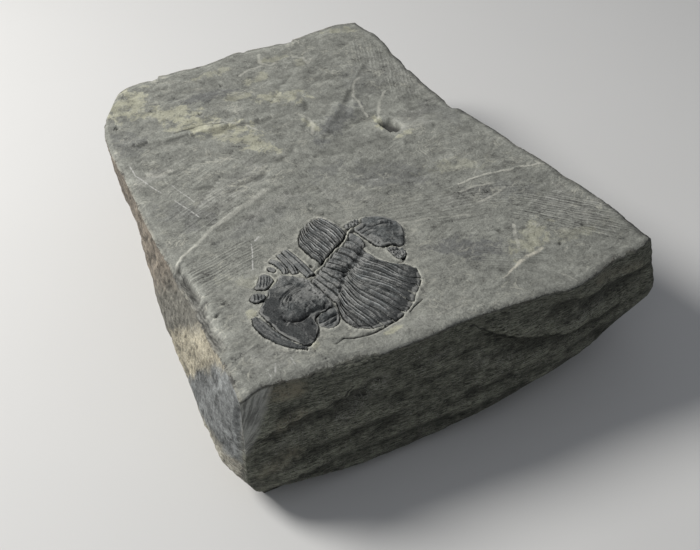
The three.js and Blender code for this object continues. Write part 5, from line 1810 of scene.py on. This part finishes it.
class TRILOBITE_OT_head_shield(bpy.types.Operator):
    """Builds the cranidium, the front rim and the broken cheeks"""

    bl_idname = "trilobite.head_shield"
    bl_label = "Head Shield"

    def execute(self, context):
        material = shared_plate_material(context.scene.trilobite_plates)
        outlined_plate("cranidium", cranidium_relief, cranidium_finish, material, 0.15)
        outer = smooth_curve(BORDER_OUTER)
        inner = smooth_curve(BORDER_INNER)
        band_plate("anterior_border", outer, inner, border_relief, border_finish, material)
        outlined_plate("left_palpebral_fragment", palpebral_relief, even_finish(0.95, 0.35), material, 0.13)
        for name in ("right_cheek_rear_fragment", "right_cheek_front_fragment"):
            outlined_plate(name, cheek_relief, even_finish(0.8, 0.35), material, 0.11)
        return {"FINISHED"}


class TRILOBITE_OT_thorax(bpy.types.Operator):
    """Builds the thoracic segments and the loose right pleurae"""

    bl_idname = "trilobite.thorax"
    bl_label = "Thorax"

    def execute(self, context):
        material = shared_plate_material(context.scene.trilobite_plates)
        for number, (front, rear) in enumerate(zip(SEGMENT_LINES, SEGMENT_LINES[1:]), 1):
            crest = lerp(FRONT_CREST, REAR_CREST, smoothstep(number, 2, 5))
            relief = segment_relief(crest, number)
            lines = guide(front), guide(rear)
            name = "thoracic_segment_%d" % number
            finish = segment_finish(number)
            band_plate(name, *lines, relief, finish, material, taper=tips_taper(0.88, 0.92))
        last = len(SEGMENT_LINES)
        lines = guide(SEGMENT_LINES[-1][:3]), guide(LAST_RING_REAR)
        ring = segment_relief(REAR_CREST, last)

        def ring_only(along, across, x, y):
            return ring(along * FURROW_SHARE * 0.97, across, x, y)

        band_plate("thoracic_segment_%d" % last, *lines, ring_only, even_finish(0.85, 0.4), material)
        for number, lines in enumerate(zip(FAN_LINES, FAN_LINES[1:]), 1):
            edges = [guide(line) for line in lines]
            name = "right_fan_pleura_%d" % number
            band_plate(name, *edges, fan_relief, fan_finish, material, taper=tips_taper(0.8, 0.85))
        for number, (path, width) in enumerate(FRONT_PLEURAE, 1):
            name = "right_front_pleura_%d" % number
            edges = finger_edges(path, width)
            band_plate(name, *edges, finger_relief, even_finish(0.9, 0.5), material, 0.1)
        outlined_plate("pleural_spine_fragment", cheek_relief, even_finish(0.6, 0.2), material, 0.1)
        return {"FINISHED"}


class TRILOBITE_OT_tail_shield(bpy.types.Operator):
    """Builds the pygidium and the granular bits beside it"""

    bl_idname = "trilobite.tail_shield"
    bl_label = "Tail Shield"

    def execute(self, context):
        material = shared_plate_material(context.scene.trilobite_plates)
        outlined_plate("pygidium", tail_relief, tail_finish, material)
        for name in ("pygidium_right_fragment", "pygidium_left_fragment"):
            outlined_plate(name, granular_relief, even_finish(1.2, 0.85), material, 0.1)
        return {"FINISHED"}


# ---------------------------------------------------------------- studio


FLOOR_REACH = 3.0  # half the floor's width, in metres
FLOOR_DROP = 0.05  # how far the floor lies under the slab, in mm
SKY_COLOUR = (0.9, 0.93, 1.0, 1.0)
SKY_STRENGTH = 0.25
KEY_PLACE = (-0.29, 0.22, 0.35)
KEY_COLOUR = (1.0, 0.98, 0.95)
FILL_PLACE = (-0.5, -0.5, 0.45)
FILL_COLOUR = (0.95, 0.97, 1.0)
CAMERA_PLACE = (-0.09407, -0.17915, 0.131064)  # from the middle of the bedding plane, in metres
CAMERA_HEADING = math.radians(29.467)  # to the right of +Y
CAMERA_PITCH = math.radians(38.5)  # downwards


def area_light(name, place, target, size, power, colour):
    light = bpy.data.lights.new(name, "AREA")
    light.shape = "DISK"
    light.size = size
    light.energy = power
    light.color = colour
    lamp = bpy.data.objects.new(name, light)
    lamp.location = place
    lamp.rotation_euler = (Vector(target) - Vector(place)).to_track_quat("-Z", "Y").to_euler()
    bpy.context.scene.collection.objects.link(lamp)


def floor_material(settings):
    material, graph, position, shader = new_material("pale_floor")
    colour = (*settings.floor_colour, 1.0)
    shaded = graph.mix(1.0, colour, grey(0.97), "MULTIPLY")
    fine = graph.noise(position, 0.02, 4.0, 0.5)
    graph.feed(shader.inputs["Base Color"], graph.mix(fine, colour, shaded))
    shader.inputs["Roughness"].default_value = 0.9
    shader.inputs["Specular IOR Level"].default_value = 0.2
    return material


class TRILOBITE_OT_studio(bpy.types.Operator):
    """Sets up the floor, the soft lights and the camera"""

    bl_idname = "trilobite.studio"
    bl_label = "Studio"

    def execute(self, context):
        settings = context.scene.trilobite_studio
        scene = context.scene
        low, high = CAD_BOX
        middle = (low + high) / 2
        reach = FLOOR_REACH / MM
        corners = [(-reach, -reach), (reach, -reach), (reach, reach), (-reach, reach)]
        corners = [(*corner, low.z / MM - FLOOR_DROP) for corner in corners]
        floor = make_object("floor", corners, [(0, 1, 2, 3)])
        floor.data.materials.append(floor_material(settings))

        world = bpy.data.worlds.new("soft_sky")
        world.use_nodes = True
        background = world.node_tree.nodes["Background"]
        background.inputs["Color"].default_value = SKY_COLOUR
        background.inputs["Strength"].default_value = SKY_STRENGTH
        scene.world = world
        area_light("key", KEY_PLACE, middle, 0.2, settings.key_power, KEY_COLOUR)
        area_light("fill", FILL_PLACE, middle, 0.6, settings.fill_power, FILL_COLOUR)

        scene.view_settings.view_transform = "Standard"
        camera_data = bpy.data.cameras.new("camera")
        camera_data.lens = settings.lens
        camera_data.sensor_width = 36.0
        camera_data.clip_start = 0.01
        camera = bpy.data.objects.new("camera", camera_data)
        scene.collection.objects.link(camera)
        camera.location = Vector(CAMERA_PLACE) + Vector((*PLAN_ZERO, BEDDING)) * MM
        level = math.cos(CAMERA_PITCH)
        ahead = Vector((math.sin(CAMERA_HEADING) * level, math.cos(CAMERA_HEADING) * level, 0.0))
        look = ahead - Vector((0.0, 0.0, math.sin(CAMERA_PITCH)))
        camera.rotation_euler = look.to_track_quat("-Z", "Y").to_euler()
        scene.camera = camera
        return {"FINISHED"}


# ---------------------------------------------------------------- panel and registration


class TRILOBITE_PT_build(bpy.types.Panel):
    """Lists the steps that build the specimen"""

    bl_idname = "TRILOBITE_PT_build"
    bl_label = "Trilobite on Shale"
    bl_space_type = "VIEW_3D"
    bl_region_type = "UI"
    bl_category = "Trilobite"

    def draw(self, context):
        for operator in OPERATORS:
            self.layout.operator(operator.bl_idname)
        for settings in ("trilobite_slab", "trilobite_plates", "trilobite_studio"):
            group = getattr(context.scene, settings)
            for name in group.bl_rna.properties.keys():
                if name not in ("rna_type", "name"):
                    self.layout.prop(group, name)


OPERATORS = (
    TRILOBITE_OT_shale_slab,
    TRILOBITE_OT_head_shield,
    TRILOBITE_OT_thorax,
    TRILOBITE_OT_tail_shield,
    TRILOBITE_OT_studio,
)
CLASSES = (SlabSettings, PlateSettings, StudioSettings, *OPERATORS, TRILOBITE_PT_build)


def register():
    for cls in CLASSES:
        bpy.utils.register_class(cls)
    bpy.types.Scene.trilobite_slab = bpy.props.PointerProperty(type=SlabSettings)
    bpy.types.Scene.trilobite_plates = bpy.props.PointerProperty(type=PlateSettings)
    bpy.types.Scene.trilobite_studio = bpy.props.PointerProperty(type=StudioSettings)


def unregister():
    del bpy.types.Scene.trilobite_studio
    del bpy.types.Scene.trilobite_plates
    del bpy.types.Scene.trilobite_slab
    for cls in reversed(CLASSES):
        bpy.utils.unregister_class(cls)


def main():
    register()
    bpy.ops.trilobite.shale_slab()
    bpy.ops.trilobite.head_shield()
    bpy.ops.trilobite.thorax()
    bpy.ops.trilobite.tail_shield()
    bpy.ops.trilobite.studio()


if __name__ == "__main__":
    main()
